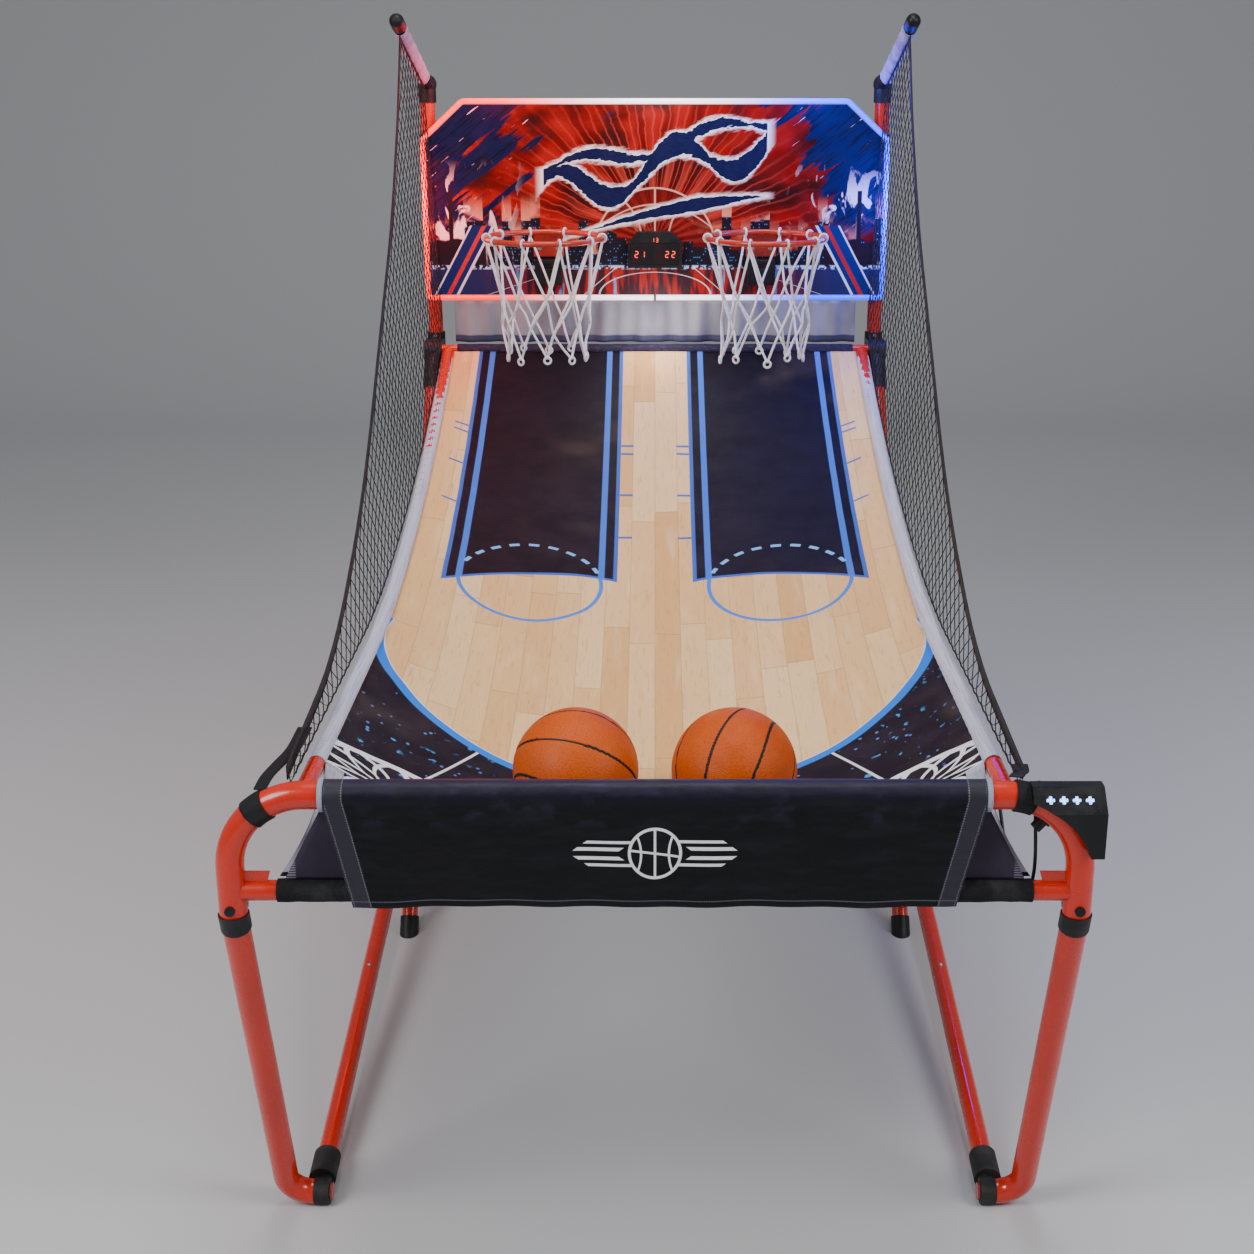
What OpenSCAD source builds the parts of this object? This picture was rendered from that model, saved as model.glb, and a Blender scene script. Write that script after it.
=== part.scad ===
// Folding two-hoop arcade basketball machine.
// Units are millimetres. X is across the machine, +Y points from the player to the
// backboard and +Z is up. The origin lies on the floor at the middle of the footprint.

/* [Overall] */
// Distance between the centres of the two front legs
leg_span = 1130; // [1060:5:1360]
// Distance from the front tube to the rear posts
play_length = 1900; // [1600:10:2280]
// Height of the rear posts
post_height = 1600; // [1560:5:1920]
// Height of the front tube's centre
front_height = 770; // [740:5:900]
// Height of the hinge at the top of the playfield
hinge_height = 1045; // [1000:5:1120]

/* [Tubes] */
// Outside diameter of the front tube and front legs
front_od = 38; // [32:1:40]
// Outside diameter of the rear posts and rear legs
rear_od = 32; // [25:1:34]
// Outside diameter of the base rails
base_od = 32; // [25:1:34]
// Outside diameter of the playfield side rails and top bar
side_od = 25; // [20:1:27]
// Outside diameter of the lower front cross tube
lower_od = 28; // [22:1:30]
// Outside diameter of the net arms
arm_od = 25; // [20:1:28]
// Wall thickness of every steel tube
tube_wall = 1.5; // [1:0.1:2.5]
// Bend radius of the front tube at its centre line
front_bend = 105; // [90:1:115]
// Bend radius at the bottom of each front leg
foot_bend = 40; // [34:1:44]

/* [Frame places] */
// Distance of each rear post from the middle
post_x = 494; // [480:1:500]
// Distance from each front leg in to the front end of its base rail
rail_front_in = 47; // [44:1:50]
// Distance of each base rail's rear end from the middle
rail_rear_x = 530; // [528:1:536]
// Height of the front legs' upper joint
knuckle_height = 598; // [580:1:620]
// Distance from the front tube back to the front foot
foot_back = 195; // [150:1:240]
// Distance from the front tube back to the rear legs' feet
rear_foot_back = 1070; // [1000:5:1200]
// Distance from the hinge back to the rear posts
hinge_reach = 62; // [56:1:80]
// Height of the lower front cross tube
lower_height = 632; // [610:1:660]
// Height of the cross bar between the rear posts
cross_height = 150; // [100:5:300]
// Distance of the snap button from the foot along a base rail
snap_along = 588; // [400:5:700]

/* [Playfield] */
// Half width of the playfield cloth
cloth_half = 455; // [440:1:456]
// Thickness of the cloth parts
cloth = 3; // [2:0.5:4]
// Lowest height of the playfield, where the balls collect
trough_height = 635; // [600:1:660]
// Half width of the front panel at its top
panel_half = 435; // [400:1:450]
// Half width of the front panel at its bottom
panel_low_half = 400; // [360:1:440]
// Radius of a ball
ball_radius = 89; // [75:1:100]
// Wall thickness of a ball
ball_wall = 4; // [2:0.5:6]
// Distance of each ball from the middle
ball_x = 112; // [102:1:140]
// Distance of the balls from the front tube
ball_back = 180; // [160:1:240]

/* [Backboard] */
// Width of the backboard panel
board_w = 994; // [900:2:1000]
// Height of the backboard panel
board_h = 406; // [380:1:430]
// Thickness of the backboard panel
board_t = 12; // [6:1:14]
// Height of the panel's lower edge
board_z = 1165; // [1150:1:1180]
// Width of the cut top corners
corner_w = 83; // [40:1:120]
// Height of the cut top corners
corner_h = 75; // [40:1:120]
// Diameter of the light tube around the panel
led_od = 12; // [8:1:13]

/* [Hoops] */
// Distance of each hoop from the middle
hoop_x = 234; // [215:1:260]
// Height of the hoops
hoop_z = 1306; // [1290:1:1330]
// Diameter of a hoop at its tube's centre
hoop_d = 245; // [200:1:250]
// Diameter of the hoop's tube
hoop_tube = 12; // [8:1:14]
// Distance from the panel's face to a hoop's centre
hoop_out = 162; // [150:1:175]
// Length of the hoop nets
net_length = 256; // [200:2:258]
// Width of the scoreboard
score_w = 120; // [90:1:150]
// Height of the scoreboard
score_h = 78; // [60:1:90]

/* [Side nets and arms] */
// Distance that the arms reach forward
arm_reach = 360; // [250:5:420]
// Height that the arms rise
arm_rise = 128; // [60:2:160]
// Height of the side nets' top edge at the front tube
net_front_rise = 20; // [20:1:60]

/* [Control box] */
// Width of the control box
box_w = 94; // [80:1:96]
// Height of the control box
box_h = 90; // [80:1:100]
// Depth of the control box
box_d = 48; // [40:1:56]
// Wall thickness of the control box
box_wall = 2.5; // [1.5:0.1:3]
// Width of each plus-shaped button
button_w = 10; // [8:0.5:11]
// Distance between button centres
button_pitch = 17; // [15:0.5:18]
// Travel of a button
button_travel = 1.2; // [0.8:0.1:2]

/* [Fits] */
// Gap between still parts that touch
seat_gap = 0.15; // [0.1:0.05:0.3]
// Gap between parts that move past each other
run_gap = 0.5; // [0.3:0.1:1]
// Radial gap of a pin or shaft in its bore
pin_gap = 0.08; // [0.03:0.01:0.1]

/* [Hidden] */
$fn = 48;
eps = 0.01;

leg_x = leg_span / 2;
front_r = front_od / 2;
rear_r = rear_od / 2;
base_r = base_od / 2;
side_r = side_od / 2;
lower_r = lower_od / 2;
arm_r = arm_od / 2;
// Middle of the footprint, from the control box's front to the posts' back
clamp_collar_r = rear_r + 4;
joiner_r = rear_r + 5;
joiner_wall = 3;
joiner_skirt = 26;
joiner_socket = 46;
arm_start = 14;
mid_y = (play_length + joiner_r - box_d) / 2;

// Playfield hinge
fold_y = play_length - hinge_reach;
fold_z = hinge_height;
// Front leg hinge, behind the tube
leg_fold_y = front_r + 11;
leg_fold_z = knuckle_height;
lug_r = 7;
lug_w = 12;
hinge_pin_r = 3;
collar_h = 26;
collar_r = front_r + 2;
// Front foot
foot_r = 20;
foot_z = foot_r;
stub_r = 10;
lean = atan(foot_back / (knuckle_height - foot_z));
leg_len = norm([foot_back, knuckle_height - foot_z]);
boot_len = 56;
boot_start = 26;

// Rear legs: from the floor up and back to the hinge
leg_vec = [0, fold_y - rear_foot_back, fold_z];
rear_leg_len = norm(leg_vec);
rear_lean = -atan2(leg_vec[1], leg_vec[2]);
leg_end_short = 35;
leg_sole = 16;
cap_h = 34;
cap_wall = 2.5;

// Base rails: from the foot to the bolt on the rear leg
rail_rise_back = 80;
bolt_z = rail_rise_back / (fold_y - rear_foot_back) * fold_z;
rail_front = [leg_x - rail_front_in, foot_back, foot_z];
rail_rear = [rail_rear_x, rear_foot_back + rail_rise_back, bolt_z];
rail_vec = rail_rear - rail_front;
rail_len = norm(rail_vec);
rail_tail = 30;
snap_r = 4;
bolt_r = 4;

// Post tops and arms
joiner = [post_x, play_length, post_height + 12];
arm_vec = [11, -arm_reach, arm_rise];
arm_len = norm(arm_vec);
arm_cap_len = 32;
sleeve_wall = 1.8;

// Board
board_y = play_length - rear_r - 10 - board_t;
led_r = led_od / 2;
led_out = led_r + 1;
bracket_zs = [board_z + 70, board_z + board_h - 75];

// Hoops
hoop_y = board_y - hoop_out;
hoop_r = hoop_d / 2;
hoop_tr = hoop_tube / 2;
plate_w = 67;
plate_t = 3;
plate_drop = 57;
sensor_size = [60, 36, 55];
score_z = 1226;
score_d = 22;
score_top = 73;
score_cut = 24;
lens_t = 1.5;
lens_edge = 7;

// Control box
box_x1 = leg_x + front_r;
box_x0 = box_x1 - box_w;
box_z1 = front_height + front_r + 1;
box_z0 = box_z1 - box_h;
box_profile = [[-box_d, box_z0], [-box_d, box_z1 - 27], [-box_d + 30, box_z1], [0, box_z1], [0, box_z0]];
slope_mid = [-box_d + 15, box_z1 - 13.5];
slope_tilt = atan2(27, 30);
bend_x = leg_x - front_bend;
bend_z = front_height - front_bend;
// Outer radius of the hollow that the box leaves round the tube's bend
bend_cut = front_bend + front_r - 12;
button_xs = [for (i = [0:3]) box_x0 + box_w / 2 + (i - 1.5) * button_pitch];
button_h = 7.5;
button_proud = 2;
clamp_angle = 50;
// Degrees of the tube's bend that the clamp covers
clamp_sweep = 10;
clamp_wall = 3;
knob_r = 8;
knob_h = 14;

// Playfield cloth as a surface over its length (t from 0 to 1) and width (u from -1 to 1)
ramp_y0 = cloth / 2 + 1.5;
ramp_y1 = fold_y - side_r - 0.7;
edge_z = front_height - 8;
flare_len = 119;
flare_w = 45;
flare_drop = 110;
flat_to = 0.35;
trough_at = 0.08;
rows = 24;
cols = 16;
function ramp_y(t) = ramp_y0 + (ramp_y1 - ramp_y0) * t;
function flare(y) = max(0, 1 - (y - ramp_y0) / flare_len);
function edge_at(t) = edge_z + (fold_z - edge_z) * pow(max(0, t - flat_to) / (1 - flat_to), 1.7)
    - flare_drop * flare(ramp_y(t));
function half_at(t) = cloth_half - 8 * t + flare_w * pow(flare(ramp_y(t)), 2);
function mid_at(t) = trough_height + (t < trough_at
    ? 16 * pow(1 - t / trough_at, 2)
    : (fold_z - trough_height) * pow((t - trough_at) / (1 - trough_at), 1.9));
function ramp_z(t, u) = mid_at(t) + (edge_at(t) - mid_at(t)) * pow(abs(u), 2.5);

// A ball rests on the cloth, a running gap above its highest contact
ball_lift = 1.3;
function ball_need(y, x) = let(t = (y - ramp_y0) / (ramp_y1 - ramp_y0), u = x / half_at(t),
    dx = x - ball_x, dy = y - ball_back)
    ramp_z(t, u) + sqrt(max(0, pow(ball_radius, 2) - dx * dx - dy * dy));
ball_z = max([for (y = [ball_back - 40:4:ball_back + 40], x = [ball_x - 20:4:ball_x + 60])
    ball_need(y, x)])
    + ball_lift;

// Rails follow the cloth's edges
rail_ts = concat([0.35], [for (i = [1:6]) 0.35 + i * 0.65 / 6]);
rail_out = side_r + run_gap;
rail_end_gap = 0.95;
function rail_point(t) = [half_at(t) + rail_out, ramp_y(t), edge_at(t) - 2];
rail_path = concat([[cloth_half + rail_out, front_r + seat_gap, edge_z - 2]],
    [for (i = [0:len(rail_ts) - 2]) rail_point(rail_ts[i])],
    [[half_at(1) + rail_out, fold_y - side_r - rail_end_gap, fold_z]]);

// Control lead: from the box down to the lower cross tube, then along under a side rail
cable_r = 2.5;
cable_path = [
    [505, 0.3, 785], [505, 10, 784], [505, 24, 774], [506, 32, 755], [508, 33, 730], [510, 32, 700], [511, 29, 670],
    [510, 26, 645], [505, 23, 624], [494, 23, 613], [482, 28, 620], [477, 44, 642], [475, 70, 680],
    [474, 110, 715], [474, 160, 734], [474, 300, 738], [474, 480, 738], [474, 620, 738], [471, 642, 745]];
cable_off = [leg_x - 565, 0, front_height - 770];

// ---------- shared shapes ----------
module place() translate([0, -mid_y, 0]) children();

module both() {
    children();
    mirror([1, 0, 0]) children();
}

// Puts its children's +Z axis along the line from a to b
module along(a, b) {
    v = b - a;
    translate(a) rotate([0, acos(v[2] / norm(v)), atan2(v[1], v[0])]) children();
}

module rod(a, b, r) along(a, b) cylinder(h = norm(b - a), r = r);

module pipe(a, b, r, wall = tube_wall) along(a, b) difference() {
    cylinder(h = norm(b - a), r = r);
    translate([0, 0, -1]) cylinder(h = norm(b - a) + 2, r = r - wall);
}

module x_rod(x0, x1, y, z, r) translate([x0, y, z]) rotate([0, 90, 0]) cylinder(h = x1 - x0, r = r);

module y_rod(x, y0, y1, z, r) translate([x, y1, z]) rotate([90, 0, 0]) cylinder(h = y1 - y0, r = r);

module z_rod(x, y, z0, z1, r) translate([x, y, z0]) cylinder(h = z1 - z0, r = r);

// A thin closed sheet between two rows of points, moved apart by the vector v
module strip(lows, tops, v) {
    n = len(lows);
    points = concat([for (p = lows) p - v / 2], [for (p = tops) p - v / 2],
        [for (p = lows) p + v / 2], [for (p = tops) p + v / 2]);
    faces = concat(
        [for (i = [0:n - 2]) [i, i + 1, n + i]], [for (i = [0:n - 2]) [i + 1, n + i + 1, n + i]],
        [for (i = [0:n - 2]) [2 * n + i, 3 * n + i, 2 * n + i + 1]],
        [for (i = [0:n - 2]) [2 * n + i + 1, 3 * n + i, 3 * n + i + 1]],
        [for (i = [0:n - 2]) [i, 2 * n + i, i + 1]], [for (i = [0:n - 2]) [i + 1, 2 * n + i, 2 * n + i + 1]],
        [for (i = [0:n - 2]) [n + i, n + i + 1, 3 * n + i]],
        [for (i = [0:n - 2]) [n + i + 1, 3 * n + i + 1, 3 * n + i]],
        [[0, n, 2 * n], [n, 3 * n, 2 * n]],
        [[n - 1, 3 * n - 1, 2 * n - 1], [2 * n - 1, 3 * n - 1, 4 * n - 1]]);
    polyhedron(points, faces);
}

// Rings of s points round a path, and the two fans of quads that join one ring to the next
function path_dir(path, i) = let(n = len(path), a = path[max(0, i - 1)], b = path[min(n - 1, i + 1)])
    (b - a) / norm(b - a);
function path_ring(path, i, r, s, ref) =
    let(d = path_dir(path, i), c = cross(d, ref), a = c / norm(c), b = cross(d, a))
    [for (k = [0:s - 1]) path[i] + r * (cos(360 * k / s) * a + sin(360 * k / s) * b)];
function skin(n, s, o) = concat(
    [for (i = [0:n - 2], k = [0:s - 1]) [o + i * s + k, o + (i + 1) * s + k, o + (i + 1) * s + (k + 1) % s]],
    [for (i = [0:n - 2], k = [0:s - 1]) [o + i * s + k, o + (i + 1) * s + (k + 1) % s, o + i * s + (k + 1) % s]]);
function flip(faces) = [for (f = faces) [for (k = [len(f) - 1:-1:0]) f[k]]];

// A solid tube swept along a list of points with s sides
module sweep(path, r, s = 8, ref = [0.2, 0.1, 1]) {
    n = len(path);
    points = [for (i = [0:n - 1]) each path_ring(path, i, r, s, ref)];
    polyhedron(points, concat([[for (k = [0:s - 1]) k]], skin(n, s, 0), [[for (k = [s - 1:-1:0]) (n - 1) * s + k]]));
}

// A hollow tube swept the same way, open at both ends
module sweep_pipe(path, r, wall, s, ref) {
    n = len(path);
    m = n * s;
    points = concat([for (i = [0:n - 1]) each path_ring(path, i, r, s, ref)],
        [for (i = [0:n - 1]) each path_ring(path, i, r - wall, s, ref)]);
    rim = [for (k = [0:s - 1], h = [0, 1]) h == 0 ? [k, (k + 1) % s, m + k] : [(k + 1) % s, m + (k + 1) % s, m + k]];
    last = (n - 1) * s;
    polyhedron(points, concat(skin(n, s, 0), flip(skin(n, s, m)), rim,
        flip([for (f = rim) [for (v = f) v + last]])));
}

// ---------- rear frame ----------
module rear_post() color("orangered") place()
    pipe([post_x, play_length, cap_wall + seat_gap], [post_x, play_length, post_height], rear_r);

module rear_post_left() mirror([1, 0, 0]) rear_post();

module rear_post_right() rear_post();

module rear_leg() color("orangered") place() translate([post_x, rear_foot_back, 0]) rotate([rear_lean, 0, 0])
    difference() {
        translate([0, 0, leg_sole]) cylinder(h = rear_leg_len - leg_end_short - leg_sole, r = rear_r);
        cylinder(h = rear_leg_len, r = rear_r - tube_wall);
    }

module rear_leg_left() mirror([1, 0, 0]) rear_leg();

module rear_leg_right() rear_leg();

module post_foot_caps() color([0.06, 0.06, 0.06]) place() both() difference() {
    z_rod(post_x, play_length, 0, cap_h, clamp_collar_r - 0.5);
    z_rod(post_x, play_length, cap_wall, cap_h + 1, rear_r + seat_gap);
}

module rear_leg_caps() color([0.06, 0.06, 0.06]) place() both() translate([post_x, rear_foot_back, 0]) difference() {
    rotate([rear_lean, 0, 0]) translate([0, 0, -20]) cylinder(h = 20 + cap_h, r = rear_r + cap_wall);
    rotate([rear_lean, 0, 0]) translate([0, 0, leg_sole - seat_gap]) cylinder(h = 60, r = rear_r + seat_gap);
    translate([-50, -50, -100]) cube([100, 100, 100]);
}

module rear_cross_bar() color("orangered") place() difference() {
    x_rod(-post_x + rear_r - 3, post_x - rear_r + 3, play_length, cross_height, side_r);
    x_rod(-post_x, post_x, play_length, cross_height, side_r - tube_wall);
    both() z_rod(post_x, play_length, cross_height - 50, cross_height + 50, rear_r + seat_gap);
}

clamp_half = rear_r + 3;

module clamp_body() {
    x_rod(post_x - clamp_half, post_x + clamp_half, fold_y, fold_z, side_r + 10);
    translate([post_x - clamp_half, fold_y, fold_z - 20]) cube([2 * clamp_half, hinge_reach, 40]);
    z_rod(post_x, play_length, fold_z - 32, fold_z + 32, clamp_collar_r);
    translate([post_x, rear_foot_back, 0]) rotate([rear_lean, 0, 0])
        translate([0, 0, rear_leg_len - leg_end_short - 60]) cylinder(h = 78, r = clamp_half - 0.6);
}

module frame_clamps() color([0.07, 0.07, 0.07]) place() both() difference() {
    clamp_body();
    x_rod(post_x - rear_od, post_x + rear_r, fold_y, fold_z, side_r + pin_gap);
    z_rod(post_x, play_length, 0, post_height, rear_r + seat_gap);
    translate([post_x, rear_foot_back, 0]) rotate([rear_lean, 0, 0])
        cylinder(h = rear_leg_len - leg_end_short + seat_gap, r = rear_r + seat_gap);
    y_rod(post_x, 0, play_length * 2, fold_z + 26, 2.1);
}

module clamp_screws() color("silver") place() both() {
    y_rod(post_x, play_length - clamp_collar_r + 1 - 6, play_length - rear_r - 0.6, fold_z + 26, 2);
    y_rod(post_x, play_length - clamp_collar_r - 3, play_length - clamp_collar_r - 0.2, fold_z + 26, 4);
}

module arm_joiners() color([0.07, 0.07, 0.07]) place() both() difference() {
    union() {
        translate(joiner) sphere(r = joiner_r);
        z_rod(post_x, play_length, post_height - joiner_skirt, joiner[2], clamp_collar_r - 1);
        rod(joiner, joiner + arm_vec * joiner_socket / arm_len, arm_r + joiner_wall);
    }
    z_rod(post_x, play_length, post_height - 60, post_height + seat_gap, rear_r + seat_gap);
    along(joiner, joiner + arm_vec) translate([0, 0, arm_start]) cylinder(h = 60, r = arm_r + seat_gap);
}

module net_arms() color([0.12, 0.12, 0.13]) place() both() along(joiner, joiner + arm_vec) difference() {
    translate([0, 0, arm_start + seat_gap]) cylinder(h = arm_len - arm_start - 6, r = arm_r);
    cylinder(h = arm_len, r = arm_r - tube_wall);
}

module arm_caps() color([0.05, 0.05, 0.05]) place() both() along(joiner, joiner + arm_vec) difference() {
    union() {
        translate([0, 0, arm_len - arm_cap_len]) cylinder(h = arm_cap_len, r = arm_r + 2);
        translate([0, 0, arm_len]) sphere(r = arm_r + 2);
    }
    cylinder(h = arm_len - 6 + seat_gap * 2, r = arm_r + seat_gap);
}

module arm_sleeves() color([0.55, 0.55, 0.62]) place() both() along(joiner, joiner + arm_vec) difference() {
    translate([0, 0, 50]) cylinder(h = arm_len - arm_cap_len - 52, r = arm_r + 0.4 + sleeve_wall);
    cylinder(h = arm_len, r = arm_r + 0.4);
}

// ---------- backboard ----------
board_half = board_w / 2;
board_outline = [[-board_half, board_z], [board_half, board_z], [board_half, board_z + board_h - corner_h],
    [board_half - corner_w, board_z + board_h], [corner_w - board_half, board_z + board_h],
    [-board_half, board_z + board_h - corner_h]];

module upright(y, t) translate([0, y + t, 0]) rotate([90, 0, 0]) linear_extrude(t) children();

module backboard() color([0.65, 0.08, 0.07]) place() difference() {
    upright(board_y, board_t) polygon(board_outline);
    for (x = [-post_x, post_x], z = bracket_zs) y_rod(x, board_y - 1, board_y + board_t + 1, z, 2.6);
}

module board_brackets() color([0.07, 0.07, 0.07]) place() for (x = [-post_x, post_x], z = bracket_zs)
    translate([x, 0, z]) difference() {
        union() {
            translate([0, play_length, -12]) cylinder(h = 24, r = rear_r + 3.2);
            translate([-14, board_y + board_t + seat_gap, -12])
                cube([28, play_length - rear_r - board_y - board_t + 3, 24]);
        }
        translate([0, play_length, -20]) cylinder(h = 40, r = rear_r + seat_gap);
        y_rod(0, board_y, play_length, 0, 2.6);
    }

module board_screws() color("silver") place() for (x = [-post_x, post_x], z = bracket_zs) {
    y_rod(x, board_y - 2.5, board_y - 0.1, z, 3.8);
    y_rod(x, board_y - 1, play_length - rear_r - 0.6, z, 2.5);
}

// The light tube runs round the panel from one side of its seam to the other
led_half = board_half + led_out;
led_low = board_z - led_out;
led_high = board_z + board_h + led_out;
led_cut = 0.4 * led_out;
led_corners = [[led_half, led_low], [led_half, board_z + board_h - corner_h + led_cut],
    [board_half - corner_w + led_cut, led_high], [corner_w - board_half - led_cut, led_high],
    [-led_half, board_z + board_h - corner_h + led_cut], [-led_half, led_low]];
led_seam = 3;
led_bend = 7;
function led_round(a, c, b) = let(p = c + (a - c) / norm(a - c) * led_bend, q = c + (b - c) / norm(b - c) * led_bend)
    [for (k = [0:4]) let(f = k / 4) p * pow(1 - f, 2) + c * 2 * f * (1 - f) + q * f * f];
led_flat = concat([[led_seam, led_low]],
    [for (i = [0:5]) each led_round(i == 0 ? [0, led_low] : led_corners[i - 1], led_corners[i],
        i == 5 ? [0, led_low] : led_corners[i + 1])], [[-led_seam, led_low]]);

module led_tube() color([0.95, 0.9, 0.95]) place()
    sweep([for (p = led_flat) [p[0], board_y + led_r - 2, p[1]]], led_r, 12, [0, 1, 0]);

module hoop(x) color([0.85, 0.25, 0.1]) place() translate([x, 0, 0]) {
    translate([0, hoop_y, hoop_z]) rotate_extrude() translate([hoop_r, 0]) circle(r = hoop_tr, $fn = 24);
    translate([-plate_w / 2, hoop_y + hoop_r - 6, hoop_z - plate_t / 2])
        cube([plate_w, board_y - seat_gap - hoop_y - hoop_r + 6, plate_t]);
    difference() {
        translate([-plate_w / 2, board_y - seat_gap - plate_t, hoop_z - plate_drop])
            cube([plate_w, plate_t, plate_drop + plate_t / 2]);
        for (k = [-1, 1]) y_rod(20 * k, board_y - 10, board_y + 1, hoop_z - plate_drop + 19, 3.2);
    }
    for (k = [-1, 1]) rod([68 * k, hoop_y + hoop_r * 0.83, hoop_z], [28 * k, board_y - 3, hoop_z], 4);
}

module hoop_left() hoop(-hoop_x);

module hoop_right() hoop(hoop_x);

module hoop_screws() color("silver") place() for (x = [-hoop_x, hoop_x], k = [-1, 1]) {
    y_rod(x + 20 * k, board_y - plate_t - 3, board_y - plate_t - seat_gap - 0.1, hoop_z - plate_drop + 19, 5);
    y_rod(x + 20 * k, board_y - plate_t - 1, board_y - 0.1, hoop_z - plate_drop + 19, 3);
}

net_t = 4;
net_top_r = hoop_r;
net_low_r = hoop_r - 20;

module hoop_net(x) color("white") place() translate([x, hoop_y, hoop_z - hoop_tr - 0.4 - net_length])
    rotate_extrude() polygon([[net_low_r - net_t / 2, 0], [net_low_r + net_t / 2, 0],
        [net_top_r + net_t / 2, net_length], [net_top_r - net_t / 2, net_length]]);

module hoop_net_left() hoop_net(-hoop_x);

module hoop_net_right() hoop_net(hoop_x);

module score_sensors() color([0.06, 0.06, 0.06]) place() for (x = [-hoop_x, hoop_x])
    translate([x - sensor_size[0] / 2, board_y - seat_gap - sensor_size[1], hoop_z - plate_drop - 4 - sensor_size[2]])
        difference() {
            cube(sensor_size);
            translate([20, -1, sensor_size[2] - 20]) cube([20, 4, 12]);
        }

score_outline = [[-score_w / 2, 0], [score_w / 2, 0], [score_w / 2, score_h - score_cut], [score_top / 2, score_h],
    [-score_top / 2, score_h], [-score_w / 2, score_h - score_cut]];

module scoreboard_case() color([0.05, 0.05, 0.06]) place() difference() {
    translate([0, 0, score_z]) upright(board_y - seat_gap - score_d, score_d) polygon(score_outline);
    translate([-score_w / 2 + lens_edge, board_y - seat_gap - score_d - 1, score_z + lens_edge])
        cube([score_w - 2 * lens_edge, lens_t + 1, score_h - score_cut - lens_edge]);
    translate([-score_w / 2 + 10, board_y - score_d + 6, score_z + 10]) cube([score_w - 20, score_d - 8, 38]);
}

module scoreboard_lens() color([0.15, 0.02, 0.02]) place()
    translate([-score_w / 2 + lens_edge + seat_gap, board_y - seat_gap - score_d, score_z + lens_edge + seat_gap])
        cube([score_w - 2 * lens_edge - 2 * seat_gap, lens_t - seat_gap, score_h - score_cut - lens_edge - 2 * seat_gap]);

module rear_curtain() color([0.5, 0.5, 0.53]) place()
    translate([-cloth_half + 8, board_y + 1, fold_z + side_r + 10])
        cube([2 * cloth_half - 16, cloth, board_z - led_out - led_r - 0.5 - fold_z - side_r - 10]);

// ---------- side nets ----------
net_x = cloth_half + rail_out + side_r + run_gap + 1.5;
net_back_y = board_y - 5;
arm_foot = joiner + arm_vec * ((play_length - net_back_y) / arm_reach);
arm_tip = joiner + arm_vec * ((arm_len - arm_cap_len - 6) / arm_len);
arm_under = arm_r + sleeve_wall + 3.2;
// Sag of the strap between the arm's tip and the front tube, as share of length and of height
strap_shape = [[0, 0], [0.26, 0.02], [0.5, 0.19], [0.69, 0.44], [0.89, 0.70], [1, 1]];
net_front = [net_x + 4, front_r + 8, front_height + net_front_rise];
function strap_at(s) = let(top = arm_tip - [0, 0, arm_under]) [net_front[0] + (top[0] - net_front[0]) * s,
    net_front[1] + (top[1] - net_front[1]) * s,
    net_front[2] + (top[2] - net_front[2]) * lookup(s, strap_shape)];
net_steps = 20;
// The lower edge lifts over the clamp at its rear end
clamp_rise = 45;
arm_steps = 5;
net_tops = concat([for (i = [0:net_steps]) strap_at(i / net_steps)],
    [for (i = [1:arm_steps]) arm_tip + (arm_foot - arm_tip) * i / arm_steps - [0, 0, arm_under]]);
net_lows = [for (i = [0:net_steps + arm_steps]) let(t = i / (net_steps + arm_steps))
    [net_x - 8 * t, net_front[1] + (net_back_y - net_front[1]) * t,
    edge_at(max(0.08, t)) + 14 + clamp_rise * max(0, (t - 0.9) / 0.1)]];

module side_net() color([0.1, 0.1, 0.12]) place() strip(net_lows, net_tops, [cloth, 0, 0]);

module side_net_left() mirror([1, 0, 0]) side_net();

module side_net_right() side_net();

// ---------- playfield frame ----------
module u_shape(r) {
    x_rod(-bend_x, bend_x, 0, front_height, r);
    both() translate([bend_x, 0, bend_z]) rotate([90, 0, 0])
        rotate_extrude(angle = 90) translate([front_bend, 0]) circle(r = r);
    both() z_rod(leg_x, 0, knuckle_height - 20, bend_z, r);
}

module front_tube() color("orangered") place() difference() {
    u_shape(front_r);
    u_shape(front_r - tube_wall);
    translate([-leg_x - 50, -50, knuckle_height - 60]) cube([2 * leg_x + 100, 100, 60 + run_gap]);
}

module lower_cross_tube() color("orangered") place() difference() {
    union() {
        x_rod(-leg_x, leg_x, 0, lower_height, lower_r);
        both() upright(-2, 4) polygon([[leg_x, lower_height + 28], [leg_x - front_r - 34, lower_height + 28],
            [leg_x - front_r - 26, lower_height], [leg_x, lower_height - 20]]);
    }
    x_rod(-leg_x - 1, leg_x + 1, 0, lower_height, lower_r - tube_wall);
    both() z_rod(leg_x, 0, lower_height - 60, lower_height + 60, front_r + seat_gap);
}

sleeve_half = leg_x - 60;

module lower_sleeve() color([0.04, 0.04, 0.04]) place() difference() {
    x_rod(-sleeve_half + 2, sleeve_half - 2, 0, lower_height, lower_r + 1.7);
    x_rod(-sleeve_half, sleeve_half, 0, lower_height, lower_r + seat_gap);
    both() translate([leg_x - front_r - 37, -3, lower_height]) cube([50, 6, 40]);
}

module side_rails() color("orangered") place() both() sweep_pipe(rail_path, side_r, tube_wall, 16, [1, 0, 0]);

module ramp_top_bar() color("orangered") place() difference() {
    x_rod(-post_x - rear_r + 4, post_x + rear_r - 4, fold_y, fold_z, side_r);
    x_rod(-post_x - rear_r, post_x + rear_r, fold_y, fold_z, side_r - tube_wall);
}

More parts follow.
